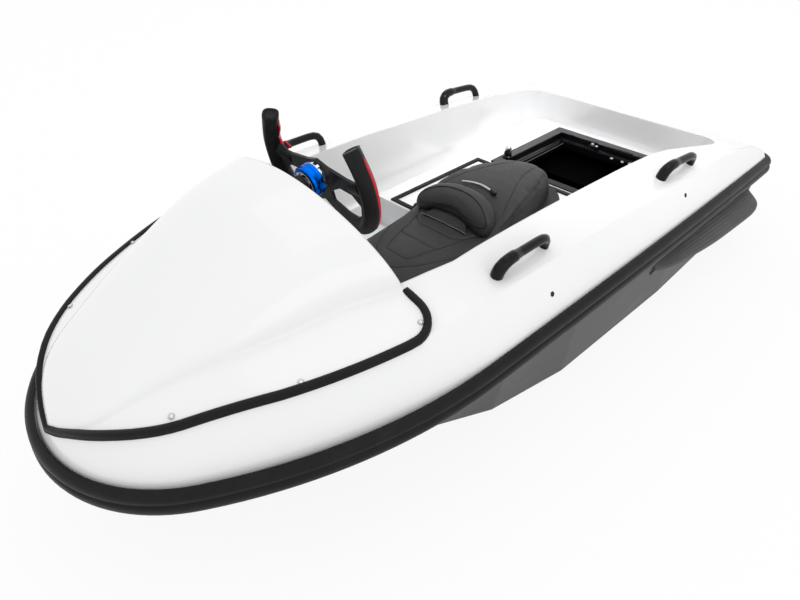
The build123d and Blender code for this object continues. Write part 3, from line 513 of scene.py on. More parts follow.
def cowl_rear_row():
    """Places from the flange's port edge up to the crest, round the corner and along the leaning edge."""
    outer = knuckle(COWL_REAR + COWL_CORNER)[0]
    foot = through(COWL_FOOT, COWL_REAR)
    places = []
    for share in FLANGE_SHARES:
        breadth = outer + (foot - outer) * share
        over = max(breadth - (outer - COWL_CORNER), 0)
        x = COWL_REAR + COWL_CORNER - sqrt(COWL_CORNER ** 2 - min(over, COWL_CORNER) ** 2)
        places.append((x, breadth, flange_height(x, breadth)))
    for turn in CROWN_TURNS:
        share = cos(radians(turn))
        x = COWL_REAR
        for _ in range(12):
            x = COWL_REAR + COWL_REAR_LEAN * (bubble_height(x, share) - COWL_REAR_HEIGHT)
        places.append((x, share * through(COWL_FOOT, x), bubble_height(x, share)))
    return places


def cowl_row(stations):
    """Places from the flange's port edge up to the crest, each at its own station."""
    places = []
    for x, share in zip(stations, FLANGE_SHARES):
        outer = cowl_edge(x)[0]
        breadth = outer + (through(COWL_FOOT, x) - outer) * share
        places.append((x, breadth, flange_height(x, breadth)))
    for x, turn in zip(stations[len(FLANGE_SHARES):], CROWN_TURNS):
        share = cos(radians(turn))
        places.append((x, share * through(COWL_FOOT, x), bubble_height(x, share)))
    return places


def mirrored(places):
    """Places on the port side, then the same places on the starboard side, in order."""
    return list(places) + [(x, -y, z) for x, y, z in reversed(places[:-1])]


def aboard(places):
    """Places measured from the stern, moved to the frame's origin."""
    return [(x - HALF_LENGTH, y, z) for x, y, z in places]


def cowl():
    rear = cowl_rear_row()
    rows = [rear]
    for share in REAR_SHARES:
        rows.append(cowl_row([x + (COWL_STATIONS[0] - x) * share for x, _, _ in rear]))
    rows += [cowl_row([station] * len(rear)) for station in COWL_STATIONS]
    piece = skin("cowl_skin", [aboard(mirrored(row)) for row in rows])
    subdivide(piece)
    add_modifier(piece, "SOLIDIFY", thickness=COWL_WALL, offset=-1)
    return finish_piece(piece, GELCOAT, replaces=("cowl",), angle=50)


def tube_along(name, path, profile, closed=False):
    """A section pulled along a path; each profile place is an outset and a height."""
    rows = []
    count = len(path)
    for i, (x, y, z) in enumerate(path):
        before = Vector(path[i - 1] if i or closed else path[i])
        after = Vector(path[(i + 1) % count] if i < count - 1 or closed else path[i])
        ahead = (after - before).normalized()
        out = ahead.cross(Vector((0, 0, 1))).normalized()
        up = out.cross(ahead)
        place = Vector((x, y, z))
        rows.append([place + out * outset + up * height for outset, height in profile])
    piece = skin(name, rows, around=True, closed=closed)
    return piece if closed else close_holes(piece)


def close_holes(piece):
    """Fill the open ends of a tube."""
    work = bmesh.new()
    work.from_mesh(piece.data)
    edges = [edge for edge in work.edges if edge.is_boundary]
    bmesh.ops.holes_fill(work, edges=edges)
    bmesh.ops.recalc_face_normals(work, faces=work.faces)
    work.to_mesh(piece.data)
    work.free()
    return piece


def rounded_section(width, height, bulge):
    """Places of a rounded section round the origin."""
    places = []
    for turn in [radians(22.5 * k) for k in range(16)]:
        side, up = cos(turn), sin(turn)
        places.append((width / 2 * abs(side) ** (2 / bulge) * (1 if side > 0 else -1),
                       height / 2 * abs(up) ** (2 / bulge) * (1 if up > 0 else -1)))
    return places


TRIM_WIDTH = 0.0175
TRIM_HEIGHT = 0.0185
TRIM_BULGE = 3
TRIM_SHIFT = 0.001
TRIM_FEET = ((COWL_REAR + 0.001, 0.322), (COWL_REAR, 0.336), (COWL_REAR, 0.352))
TRIM_GAP = 0.020
TRIM_STEP = 0.018
TRIM_NOSE_START = 2.220
TRIM_NOSE_STEP = 0.0045
TRIM_END = 2.283
TRIM_NOSE = (2.287, 0.0, 0.303)


def cowl_trim():
    """Rubber edge trim from the arch's foot round the flange and back."""
    corner_breadth = knuckle(COWL_REAR + COWL_CORNER)[0]
    half = list(TRIM_FEET)
    for turn in [radians(10 * i) for i in range(10)]:
        half.append((COWL_REAR + COWL_CORNER * (1 - cos(turn)),
                     corner_breadth - COWL_CORNER * (1 - sin(turn))))
    path = [(x, y, flange_height(x, y) - TRIM_SHIFT) for x, y in half]
    station = COWL_REAR + COWL_CORNER + TRIM_GAP
    while station < TRIM_END:
        breadth, height = cowl_edge(station)
        path.append((station, breadth, height + TRIM_SHIFT))
        station += TRIM_STEP if station < TRIM_NOSE_START else TRIM_NOSE_STEP
    path.append(TRIM_NOSE)
    section = rounded_section(TRIM_WIDTH, TRIM_HEIGHT, TRIM_BULGE)
    piece = tube_along("cowl_edge_trim", aboard(mirrored(path)), section)
    return finish_piece(piece, TRIM, replaces=("cowl_trim",), angle=60)


# Rub rail. Columns: outset from the joint line, height over it

RAIL_SECTION = (
    (-0.0012, 0.0145), (0.003, 0.0160), (0.009, 0.0150), (0.015, 0.0100), (0.0185, 0.0030), (0.0193, -0.0040),
    (0.0180, -0.0080), (0.0150, -0.0098), (0.0150, -0.0120), (0.0182, -0.0140), (0.0200, -0.0190),
    (0.0200, -0.0280), (0.0175, -0.0350), (0.0120, -0.0392), (0.0050, -0.0400), (-0.0012, -0.0395),
)


RAIL_STEP = 0.030


def joint_path():
    """Places round the joint line, from the stern's middle round the bow and back."""
    (long_radius, long_middle), _ = side_arcs(HALF_BEAM)
    corner_x = STERN_LINE + STERN_RADIUS
    gap = long_radius - STERN_RADIUS
    corner_y = long_middle[1] + sqrt(gap ** 2 - (WIDEST_STATION - corner_x) ** 2)
    side = [(STERN_LINE, corner_y * share) for share in (0.0, 0.25, 0.5, 0.75, 0.93)]
    side += [(corner_x - STERN_RADIUS * cos(radians(turn)), corner_y + STERN_RADIUS * sin(radians(turn)))
             for turn in range(0, 91, 9)]
    station = corner_x + RAIL_STEP
    bow_start = BOW_MIDDLE + BOW_RADIUS * sin(BOW_TURN)
    while station < bow_start:
        side.append((station, half_breadth(station)))
        station += RAIL_STEP
    side += [(BOW_MIDDLE + BOW_RADIUS * sin(radians(turn)), BOW_RADIUS * cos(radians(turn)))
             for turn in range(36, 91, 3)]
    side[-1] = (LENGTH - STERN_LINE, 0.0)
    return [(x, y, arc_height(JOINT, x)) for x, y in side]


def rub_rail():
    half = joint_path()
    ring = half + [(x, -y, z) for x, y, z in reversed(half[1:-1])]
    section = [(-outset, height) for outset, height in RAIL_SECTION]
    piece = tube_along("rub_rail_section", aboard(ring), section, closed=True)
    return finish_piece(piece, RAIL, replaces=("rub_rail",), angle=60)


# Tubes and panels shared by the fittings

def smooth_line(points, steps=6):
    """Places on a smooth curve through the points, evenly shared between them."""
    ends = [points[0]] + list(points) + [points[-1]]
    line = []
    for i in range(1, len(points)):
        a, b, c, d = [Vector(point) for point in ends[i - 1:i + 3]]
        for k in range(steps):
            t = k / steps
            line.append(0.5 * (2 * b + (c - a) * t + (2 * a - 5 * b + 4 * c - d) * t ** 2
                               + (3 * b - a - 3 * c + d) * t ** 3))
    line.append(Vector(points[-1]))
    return line


def circle(middle, out, up, radius, count):
    """Places on a circle that starts along out and turns towards up."""
    return [middle + out * radius * cos(2 * pi * k / count) + up * radius * sin(2 * pi * k / count)
            for k in range(count)]


def round_tube(name, points, radii, sides=16, upward=(0, 0, 1), flat=1.0):
    """A tube whose radius follows the path; flat squeezes it along the upward axis."""
    rows = []
    last = len(points) - 1
    for i, place in enumerate(points):
        ahead = (Vector(points[min(i + 1, last)]) - Vector(points[max(i - 1, 0)])).normalized()
        out = ahead.cross(Vector(upward)).normalized()
        radius = radii[i] if isinstance(radii, list) else radii
        rows.append(circle(Vector(place), out, out.cross(ahead) * flat, radius, sides))
    return close_holes(skin(name, rows, around=True))


def turned(name, profile, place, axis, sides):
    """A piece turned about an axis; each profile place is a distance along it and a radius."""
    axis = Vector(axis).normalized()
    out = axis.orthogonal().normalized()
    up = axis.cross(out)
    rows = [circle(Vector(place) + axis * along, out, up, radius, sides) for along, radius in profile]
    return close_holes(skin(name, rows, around=True))


def join(name, pieces):
    """Join pieces that share one material and one body."""
    only(pieces[0])
    for piece in pieces:
        piece.select_set(True)
    bpy.ops.object.join()
    pieces[0].name = name
    return pieces[0]


def surface(piece):
    """Surface of a piece, for rays to hit."""
    return BVHTree.FromObject(piece, bpy.context.evaluated_depsgraph_get())


def stern_place(x, y, z):
    return Vector((x - HALF_LENGTH, y, z))


# Saddle. Columns: station, half breadth of the top, height of the crown, drop to the shoulder,
# half breadth at the skirt, height of the skirt's foot

SADDLE = (
    (0.724, 0.010, 0.304, 0.004, 0.014, 0.266),
    (0.729, 0.032, 0.319, 0.008, 0.036, 0.262),
    (0.745, 0.056, 0.334, 0.010, 0.072, 0.258),
    (0.790, 0.084, 0.348, 0.012, 0.108, 0.256),
    (0.860, 0.110, 0.356, 0.013, 0.134, 0.256),
    (0.950, 0.138, 0.356, 0.014, 0.157, 0.256),
    (1.020, 0.148, 0.346, 0.015, 0.168, 0.256),
    (1.075, 0.149, 0.318, 0.016, 0.170, 0.250),
    (1.120, 0.142, 0.292, 0.012, 0.169, 0.242),
    (1.170, 0.128, 0.284, 0.009, 0.167, 0.240),
    (1.230, 0.104, 0.281, 0.008, 0.166, 0.238),
    (1.300, 0.074, 0.279, 0.007, 0.165, 0.236),
    (1.360, 0.056, 0.274, 0.007, 0.161, 0.232),
    (1.420, 0.044, 0.264, 0.007, 0.144, 0.226),
    (1.460, 0.032, 0.250, 0.007, 0.106, 0.222),
    (1.480, 0.018, 0.236, 0.005, 0.050, 0.220),
    (1.484, 0.010, 0.228, 0.003, 0.016, 0.220),
)
SADDLE_SEAMS = (
    ((1.352, 0.0), (1.350, 0.032), (1.335, 0.047), (1.250, 0.073), (1.160, 0.098), (1.140, 0.112)),
    ((1.266, 0.0), (1.266, 0.046), (1.257, 0.069)),
    ((1.197, 0.0), (1.196, 0.056), (1.184, 0.078), (1.172, 0.093)),
    ((1.412, 0.0), (1.402, 0.026), (1.345, 0.078), (1.270, 0.116), (1.200, 0.140), (1.130, 0.152)),
    ((0.752, 0.024), (0.800, 0.038), (0.880, 0.058), (0.970, 0.094), (1.050, 0.122)),
    ((0.762, 0.062), (0.854, 0.101), (0.949, 0.130), (1.033, 0.146), (1.085, 0.144)),
)
SADDLE_TAIL_ROW = 0.736
SEAM_DEPTH = 0.0022
SEAM_HALF = 0.0065
SADDLE_VOXEL = 0.006
SADDLE_SWELL = 0.006
PRESSURE = 4.0
CLOTH_FRAMES = 20

ABOVE_SEAT = 0.6

# Saddle's section. Crown: shares of the top's half breadth and of the drop. Side: shares of the way
# out to the skirt and down to its foot
CROWN_SHARES = ((0.38, 0.14), (0.72, 0.52), (1.0, 1.0))
SIDE_SHARES = ((0.34, 0.10), (0.66, 0.32), (0.92, 0.68), (1.0, 0.94))
UNDER_SHARES = (0.96, 0.5, 0.0)


def saddle_row(station):
    top, crown, drop, skirt, foot = [through(SADDLE, station, column) for column in range(1, 6)]
    shoulder = crown - drop
    half = [(0.0, crown)] + [(out * top, crown - down * drop) for out, down in CROWN_SHARES]
    half += [(top + (skirt - top) * out, shoulder + (foot - shoulder) * down) for out, down in SIDE_SHARES]
    half += [(skirt * share, foot - 0.002) for share in UNDER_SHARES]
    ring = half + [(-y, z) for y, z in reversed(half[1:-1])]
    return [stern_place(station, y, z) for y, z in ring]


def puff(piece, cap, voxel):
    """Remesh a cushion and swell it with a cloth simulation, no point moving further than the cap."""
    add_modifier(piece, "REMESH", mode="VOXEL", voxel_size=voxel)
    before = [vertex.co.copy() for vertex in piece.data.vertices]
    only(piece)
    modifier = piece.modifiers.new("cloth", "CLOTH")
    modifier.settings.use_pressure = True
    modifier.settings.uniform_pressure_force = PRESSURE
    modifier.settings.effector_weights.gravity = 0
    modifier.settings.quality = 5
    modifier.point_cache.frame_start = 1
    modifier.point_cache.frame_end = CLOTH_FRAMES
    for moment in range(1, CLOTH_FRAMES + 1):
        bpy.context.scene.frame_set(moment)
    bpy.ops.object.modifier_apply(modifier=modifier.name)
    bpy.context.scene.frame_set(1)
    for vertex, start in zip(piece.data.vertices, before):
        move = vertex.co - start
        if move.length > cap:
            vertex.co = start + move * (cap / move.length)


def distance_to(line, x, y):
    """Least distance in plan from a place to a line of places."""
    least = 1.0
    for (x1, y1), (x2, y2) in zip(line, line[1:]):
        run_x, run_y = x2 - x1, y2 - y1
        reach = run_x * run_x + run_y * run_y or 1e-12
        share = min(max(((x - x1) * run_x + (y - y1) * run_y) / reach, 0), 1)
        least = min(least, (x - x1 - share * run_x) ** 2 + (y - y1 - share * run_y) ** 2)
    return sqrt(least)


def sew(piece, lines):
    """Press grooves into the top of a cushion along lines drawn in plan."""
    for line in lines:
        low_x, high_x = min(x for x, _ in line) - SEAM_HALF, max(x for x, _ in line) + SEAM_HALF
        low_y, high_y = min(y for _, y in line) - SEAM_HALF, max(y for _, y in line) + SEAM_HALF
        for vertex in piece.data.vertices:
            x, y = vertex.co.x + HALF_LENGTH, vertex.co.y
            if low_x < x < high_x and low_y < y < high_y and vertex.normal.z > 0.2:
                away = distance_to(line, x, y) / SEAM_HALF
                if away < 1:
                    vertex.co -= vertex.normal * SEAM_DEPTH * (1 - away) ** 2
    piece.data.update()


def cushion(name, rows, swell, voxel, lines=()):
    """A swollen cushion through rows of places, with grooves along lines drawn in plan."""
    piece = close_holes(skin(name, rows, around=True))
    subdivide(piece, 1)
    puff(piece, swell, voxel)
    subdivide(piece, 1)
    sew(piece, lines)
    return piece


def drop_on(tree, x, y, lift):
    """Place on a surface straight below a place in plan, moved along its normal."""
    hit, normal, _, _ = tree.ray_cast(stern_place(x, y, ABOVE_SEAT), Vector((0, 0, -1)))
    return hit + normal * lift if hit else None


def thread(tree, line):
    """Thread laid along a seam."""
    places = [drop_on(tree, x, y, -0.0001) for x, y in line]
    return round_tube("saddle_seam", [place for place in places if place], 0.0008, sides=8)


def flat_line(points):
    return [(place.x, place.y) for place in smooth_line([(x, y, 0) for x, y in points])]


def saddle():
    stations = sorted([row[0] for row in SADDLE] + [SADDLE_TAIL_ROW])
    lines = []
    for seam in SADDLE_SEAMS:
        line = flat_line(seam)
        other = [(x, -y) for x, y in line]
        lines += [other[:0:-1] + line] if seam[0][1] == 0 else [line, other]
    rows = [saddle_row(station) for station in stations]
    piece = cushion("saddle_cushion", rows, SADDLE_SWELL, SADDLE_VOXEL, lines)
    finish_piece(piece, COVER, replaces=("seat_saddle",), angle=70)
    tree = surface(piece)
    finish_piece(join("saddle_seams", [thread(tree, line) for line in lines]), THREAD)


# Bolster. Its section is an oval whose middle sweeps forward and down towards the ends
BOLSTER_HALF = 0.143
BOLSTER_STATION = 1.087
BOLSTER_HEIGHT = 0.3285
BOLSTER_THICK = 0.041
BOLSTER_TALL = 0.041
BOLSTER_SWEEP = 0.030
BOLSTER_DROP = 0.017
BOLSTER_LEAN = -0.50
BOLSTER_VOXEL = 0.005
BOLSTER_SWELL = 0.005
PIPING_SHARE = 0.90
PIPING_UP = 0.037
PIPING_DOWN = 0.027


def bolster_middle(share):
    """Middle of the bolster's section at a share of its half breadth, measured from the stern."""
    return Vector((BOLSTER_STATION + BOLSTER_SWEEP * share ** 2, BOLSTER_HALF * share,
                   BOLSTER_HEIGHT - BOLSTER_DROP * share ** 2))


def bolster_place(share, turn):
    """Place on the bolster: its section leans back."""
    thin = sqrt(max(1 - abs(share) ** 3.4, 0.0))
    ahead, up = [abs(part) ** 0.78 * (1 if part > 0 else -1) for part in (cos(turn), sin(turn))]
    height = (BOLSTER_TALL + 0.003 * share ** 2) * thin * up
    if sin(turn) < 0:
        height *= 0.80 + 0.42 * share ** 2
    forward = BOLSTER_THICK * thin * ahead + BOLSTER_LEAN * height
    return bolster_middle(share) + Vector((forward - HALF_LENGTH, 0, height))


def bolster():
    shares = [sin(radians(turn)) for turn in range(-88, 89, 8)]
    rows = [[bolster_place(share, 2 * pi * k / 20) for k in range(20)] for share in shares]
    piece = cushion("bolster_cushion", rows, BOLSTER_SWELL, BOLSTER_VOXEL)
    finish_piece(piece, COVER, replaces=("seat_bolster",), angle=70)
    piping(surface(piece))
    insert()
    strap()


def piping(tree):
    """Piping round the bolster's front face."""
    ring = []
    up_face, out_face = Vector((-0.447, 0, 0.894)), Vector((0.894, 0, 0.447))
    for k in range(73):
        turn = 2 * pi * k / 72
        share = PIPING_SHARE * abs(cos(turn)) ** 0.8 * (1 if cos(turn) > 0 else -1)
        lift = abs(sin(turn)) ** 0.7 * sqrt(max(1 - abs(share) ** 4, 0))
        lift *= PIPING_UP if sin(turn) > 0 else -(PIPING_DOWN + 0.010 * share ** 2)
        start = bolster_middle(share) + up_face * lift + out_face * 0.2 + Vector((-HALF_LENGTH, 0, 0))
        hit, normal, _, _ = tree.ray_cast(start, -out_face)
        if hit:
            ring.append(hit + normal * 0.0006)
    finish_piece(round_tube("bolster_piping", ring + ring[:1], 0.0016, sides=8), THREAD)


# Knit panel under the bolster. Each edge: station, height, half breadth
KNIT_TOP = (1.106, 0.320, 0.046)
KNIT_FOOT = (1.160, 0.294, 0.082)
KNIT_SAG = 0.35
KNIT_RIBS = 24
RIB_HEIGHT = 0.0017
STITCH_STATION = 1.160
STITCH_HEIGHT = 0.2955
STITCH_HALF = 0.0018
STITCH_ROW = 0.083
STITCHES = 28


def insert():
    """Ribbed knit panel under the bolster's concave front, with a row of stitches."""
    station, height, half = KNIT_TOP
    ahead, fall, widen = [foot - top for top, foot in zip(KNIT_TOP, KNIT_FOOT)]
    rows = []
    for down in [i / 10 for i in range(11)]:
        row = []
        for across in [k / 60 - 1 for k in range(121)]:
            breadth = (half + widen * down) * across
            rib = RIB_HEIGHT * abs(sin(KNIT_RIBS * pi * (across + 1) / 2))
            row.append(stern_place(station + ahead * down + rib, breadth,
                                   height + fall * down ** 0.8 - KNIT_SAG * breadth ** 2 + rib))
        rows.append(row)
    piece = skin("knit_insert", rows)
    add_modifier(piece, "SOLIDIFY", thickness=0.004, offset=-1)
    finish_piece(piece, KNIT)
    stitches = []
    for k in range(STITCHES):
        breadth = STITCH_ROW * (2 * k / (STITCHES - 1) - 1)
        ends = [stern_place(STITCH_STATION, breadth + half_stitch, STITCH_HEIGHT - KNIT_SAG * breadth ** 2)
                for half_stitch in (-STITCH_HALF, STITCH_HALF)]
        stitches.append(round_tube("stitch", ends, 0.0008, sides=6))
    finish_piece(join("insert_stitches", stitches), STITCH)


STRAP = ((1.014, -0.060, 0.354), (1.004, -0.030, 0.357), (1.000, 0.0, 0.358), (1.002, 0.025, 0.357),
         (1.006, 0.046, 0.355))
STRAP_CLIP = ((1.006, 0.044, 0.356), (1.011, 0.064, 0.353))


def strap():
    """Satin strap and its clip behind the bolster."""
    line = smooth_line(aboard(STRAP), 5)
    finish_piece(round_tube("bolster_strap", line, 0.0040, sides=12, flat=0.4), SATIN)
    finish_piece(round_tube("strap_clip", aboard(STRAP_CLIP), 0.006, sides=10), PLASTIC)


# Steering wheel. Places on it are a breadth, a height and a distance forward along the column

WHEEL_TILT = radians(11.0)
WHEEL_HUB = (1.576, 0.0, 0.602)
WHEEL_AXIS = (cos(WHEEL_TILT), 0.0, -sin(WHEEL_TILT))
GRIP_LINE = ((0.144, 0.113), (0.1570, 0.082), (0.1695, 0.044), (0.1730, 0.004), (0.1690, -0.034),
             (0.1560, -0.066), (0.1390, -0.087), (0.1210, -0.100))
GRIP_HALF = 0.0196
GRIP_DEPTH = 0.004
GRIP_TIP = ((0.30, 0.0006), (0.16, 0.0024), (0.0, 0.0012))
END_RING_SHARE = 0.30
END_RING_RISE = 0.0016
END_RING_RADIUS = 0.0007
FINGERS = (0.06, 0.52)
FINGER_PITCH = 0.153
FINGER_DEPTH = 0.0022
SLEEVE = ((0.147, 0.016, 0.020), (0.135, 0.012, 0.0175), (0.118, 0.008, 0.015), (0.104, 0.006, 0.011))
ACCENT = ((0.142, 0.030), (0.131, 0.026), (0.122, 0.022))
ACCENT_DEPTH = -0.011


def on_wheel(breadth, height, forward):
    return Vector((WHEEL_HUB[0] - HALF_LENGTH + forward * cos(WHEEL_TILT) + height * sin(WHEEL_TILT), breadth,
                   WHEEL_HUB[2] - forward * sin(WHEEL_TILT) + height * cos(WHEEL_TILT)))


def grip_place(side, line, index, turn, lift=0.0):
    """Place on a grip's skin; turn 0 faces outboard and a quarter turn faces aft to the driver."""
    last = len(line) - 1
    place = line[index]
    ahead = (line[min(index + 1, last)] - line[max(index - 1, 0)]).normalized()
    out = Vector((-ahead.y, ahead.x))
    share = index / last
    radius = GRIP_HALF * (1.02 - 0.10 * max(share - 0.75, 0) * 4) + lift
    oval = radius * (1 + 0.05 * cos(4 * turn))
    if FINGERS[0] < share < FINGERS[1]:
        finger = max(-cos(turn), 0) ** 2
        oval -= FINGER_DEPTH * finger * (0.5 - 0.5 * cos(2 * pi * (share - FINGERS[0]) / FINGER_PITCH))
    flat_place = place + out * oval * cos(turn)
    return on_wheel(side * flat_place.x, flat_place.y, GRIP_DEPTH - oval * 1.04 * sin(turn))


def grip_line():
    return [place.to_2d() for place in smooth_line([(y, v, 0) for y, v in GRIP_LINE])]


def grip(side, label):
    """Grip with a flat end, its two coloured strips, and the sleeve that carries it."""
    line = grip_line()
    rows = [[grip_place(side, line, index, 2 * pi * k / 28) for k in range(28)] for index in range(len(line))]
    middle = on_wheel(side * line[0].x, line[0].y, GRIP_DEPTH)
    tip = [[place + (middle - place) * share + Vector((0, 0, rise)) for place in rows[0]]
           for share, rise in GRIP_TIP]
    piece = close_holes(skin("wheel_grip_" + label + "_cover", tip + rows, around=True))
    finish_piece(piece, GRIP, "steering_wheel", ("wheel_grip_" + label,), 50)
    outline = [place + (middle - place) * END_RING_SHARE + Vector((0, 0, END_RING_RISE)) for place in rows[0]]
    ring = round_tube("grip_end_ring_" + label, outline + outline[:1], END_RING_RADIUS, sides=6)
    finish_piece(ring, GLOSS, "steering_wheel")
    strip("grip_strip_" + label, side, line, 4, 36, 24, 17, 0.0009, RED)
    strip("grip_fingers_" + label, side, line, 3, 19, 140, 28, 0.0013, CRIMSON, 0.0036)
    sleeve = round_tube("spoke_sleeve_" + label, [on_wheel(side * y, v, GRIP_DEPTH) for y, v, _ in SLEEVE],
                        [radius for _, _, radius in SLEEVE], sides=20, flat=0.62, upward=WHEEL_AXIS)
    finish_piece(sleeve, GRIP, "steering_wheel")
    accent = [on_wheel(side * y, v, ACCENT_DEPTH) for y, v in ACCENT]
    finish_piece(round_tube("spoke_accent_" + label, accent, 0.0030, sides=10), CRIMSON,
                 "steering_wheel")


def strip(name, side, line, first, last, middle, half, lift, material, wave=0.0):
    """A raised strip along a grip between two places of its line, narrow at both ends."""
    rows = []
    for index in range(first, last + 1):
        share = (index - first) / (last - first)
        narrow = sqrt(max(1 - (2 * share - 1) ** 6, 0.02))
        bulge = wave * (0.5 - 0.5 * cos(2 * pi * share * 2))
        row = []
        for k in range(-5, 6):
            turn = radians(middle + half * narrow * k / 5)
            edge = lift * (1 if abs(k) < 5 else -0.6)
            row.append(grip_place(side, line, index, turn, edge + bulge * (1 - (k / 5) ** 2)))
        rows.append(row)
    piece = skin(name, rows)
    add_modifier(piece, "SOLIDIFY", thickness=0.0012, offset=-1)
    finish_piece(piece, material, "steering_wheel")


# Turned profiles of the collar. Columns: distance along the column, radius
COLLAR = ((0.0205, 0.030), (0.0205, 0.0388), (0.0215, 0.0398), (0.0300, 0.0398), (0.0308, 0.0386),
          (0.0322, 0.0386), (0.0330, 0.0398), (0.0455, 0.0398), (0.0480, 0.0385), (0.0495, 0.0360),
          (0.0498, 0.0320), (0.0480, 0.0312), (0.0480, 0.0295))
COLLAR_FACE = ((0.0470, 0.0308), (0.0500, 0.0305), (0.0506, 0.0296), (0.0506, 0.0215), (0.0490, 0.0205),
               (0.0490, 0.0145))
FACE_BOLT = ((0.0500, 0.0034), (0.0528, 0.0034), (0.0534, 0.0028), (0.0534, 0.0016), (0.0518, 0.0015),
             (0.0518, 0.0003))
FACE_BOLTS = 6
BOLT_CIRCLE = 0.0262
# Notched flange of the hub. Columns: distance along the column, drop from the full radius
HUB_FLANGE = ((0.0082, 0.0006), (0.0090, 0.0), (0.0190, 0.0), (0.0200, 0.0008))
HUB_RADIUS = 0.0362
NOTCH_DEPTH = 0.0042
HUB_PLACES = 144
NOTCH_PLACES = 6


def hub_rings():
    """Blue quick-release collar with two grooves, its silver face, and the notched chrome flange."""
    place = on_wheel(0, 0, 0)
    piece = turned("collar_blue", COLLAR, place, WHEEL_AXIS, 72)
    finish_piece(piece, BLUE, "steering_wheel", ("quick_release",), 30)
    piece = turned("collar_face", COLLAR_FACE, place, WHEEL_AXIS, 64)
    finish_piece(piece, CHROME, "steering_wheel", angle=30)
    across = Vector((0, 1, 0))
    up = on_wheel(0, 1, 0) - place
    rows = []
    for forward, drop in HUB_FLANGE:
        middle = place + Vector(WHEEL_AXIS) * forward
        notched = circle(middle, across, up, HUB_RADIUS - NOTCH_DEPTH - drop, HUB_PLACES)
        full = circle(middle, across, up, HUB_RADIUS - drop, HUB_PLACES)
        rows.append([(notched if (k // NOTCH_PLACES) % 2 else full)[k] for k in range(HUB_PLACES)])
    piece = close_holes(skin("hub_flange_notched", rows, around=True))
    finish_piece(piece, CHROME, "steering_wheel", ("hub_flange",), 30)
    half_steps = circle(place, across, up, BOLT_CIRCLE, 2 * FACE_BOLTS)[1::2]
    bolts = [turned("face_bolt", FACE_BOLT, middle, WHEEL_AXIS, 16) for middle in half_steps]
    finish_piece(join("collar_bolts", bolts), STEEL, "steering_wheel", angle=30)


# Grab handles. Columns: distance forward of the middle, height over the deck, radius

HANDLE_ROWS = (
    (0.086, -0.002, 0.0150), (0.0865, 0.008, 0.0152), (0.083, 0.020, 0.0150), (0.074, 0.029, 0.0146),
    (0.061, 0.034, 0.0142), (0.046, 0.036, 0.0138), (0.0400, 0.0362, 0.0136), (0.0385, 0.0362, 0.0118),
    (0.020, 0.0365, 0.0112), (-0.010, 0.0365, 0.0110), (-0.040, 0.0362, 0.0110), (-0.058, 0.0345, 0.0112),
    (-0.071, 0.029, 0.0114), (-0.079, 0.018, 0.0112), (-0.0815, 0.006, 0.0112), (-0.0815, -0.002, 0.0114),
)
HANDLES = (("front", 1.345, 0.408), ("rear", 0.637, 0.406))
SLOPE_STEP = 0.05
RECESS_PLACE = 0.090
RECESS_LONG = 0.012
RECESS_HALF = 0.0065
RECESS_START = 0.12
RECESS_STEPS = ((0.0, 0.0), (0.25, 0.0004), (0.99, 0.0006))


def handle(label, station, breadth, side, side_name):
    """A moulded handle: a thick front foot with a gloss recess, a stepped sleeve and a slimmer aft foot."""
    base = side_deck_height(station, breadth)
    ahead, behind = [side_deck_height(station + step, breadth) for step in (SLOPE_STEP, -SLOPE_STEP)]
    slope = (ahead - behind) / (2 * SLOPE_STEP)

    level, steep = cos(DECK_TILT), sin(DECK_TILT)

    def on_deck(forward, height, out=0.0):
        return stern_place(station + forward, side * (breadth + height * steep + out * level),
                           base + slope * forward + height * level - out * steep)

    name = "grab_handle_" + label + "_" + side_name
    points = [on_deck(forward, height) for forward, height, _ in HANDLE_ROWS]
    radii = [radius for _, _, radius in HANDLE_ROWS]
    body = round_tube(name + "_moulded", points, radii, sides=24, upward=(0, side * level, -steep))
    finish_piece(body, HANDLE, replaces=(name,), angle=50)
    tree = surface(body)
    normal = Vector((0, side * steep, level))
    rim = []
    for turn in [radians(15 * k) for k in range(24)]:
        start = on_deck(RECESS_PLACE + RECESS_LONG * cos(turn), RECESS_START, RECESS_HALF * sin(turn))
        hit, face, _, _ = tree.ray_cast(start, -(normal + Vector((0.25, 0, 0))).normalized())
        if hit:
            rim.append(hit + face * 0.0003)
    middle = sum(rim, Vector()) / len(rim)
    rows = [[place + (middle - place) * share - normal * sink for place in rim]
            for share, sink in RECESS_STEPS]
    finish_piece(close_holes(skin(name + "_recess", rows, around=True)), GLOSS, angle=70)


# Hatch details on the frame of the machinery hatch

HATCH = (0.302, 0.662, 0.196)
PLATFORM = 0.250
LEDGE = 0.034
LEDGE_TOP = PLATFORM - 0.010
LEDGE_THICK = 0.004
RIM_OUT = 0.018
RIM_IN = 0.013
RIM_LOW = PLATFORM + 0.0045
RIM_TOP = PLATFORM + 0.0062
RIM_EDGE = 0.0006
# Stepped notches of the rim: two breadths and a depth
NOTCHES = ((-0.150, -0.128, 0.008), (-0.090, -0.030, 0.010), (0.010, 0.110, 0.014), (0.130, 0.150, 0.009))
NOTCH_ENDS = (0.016, 0.018)
NOTCH_LOW = RIM_LOW - 0.0005
NOTCH_TOP = RIM_TOP + 0.001
INNER_TOP = LEDGE_TOP - 0.002
INNER_LOW = LEDGE_TOP - 0.030
INNER_LAP = 0.002
INNER_REAR = 0.006
INNER_SIDE = 0.008
INNER_EDGE = 0.0008
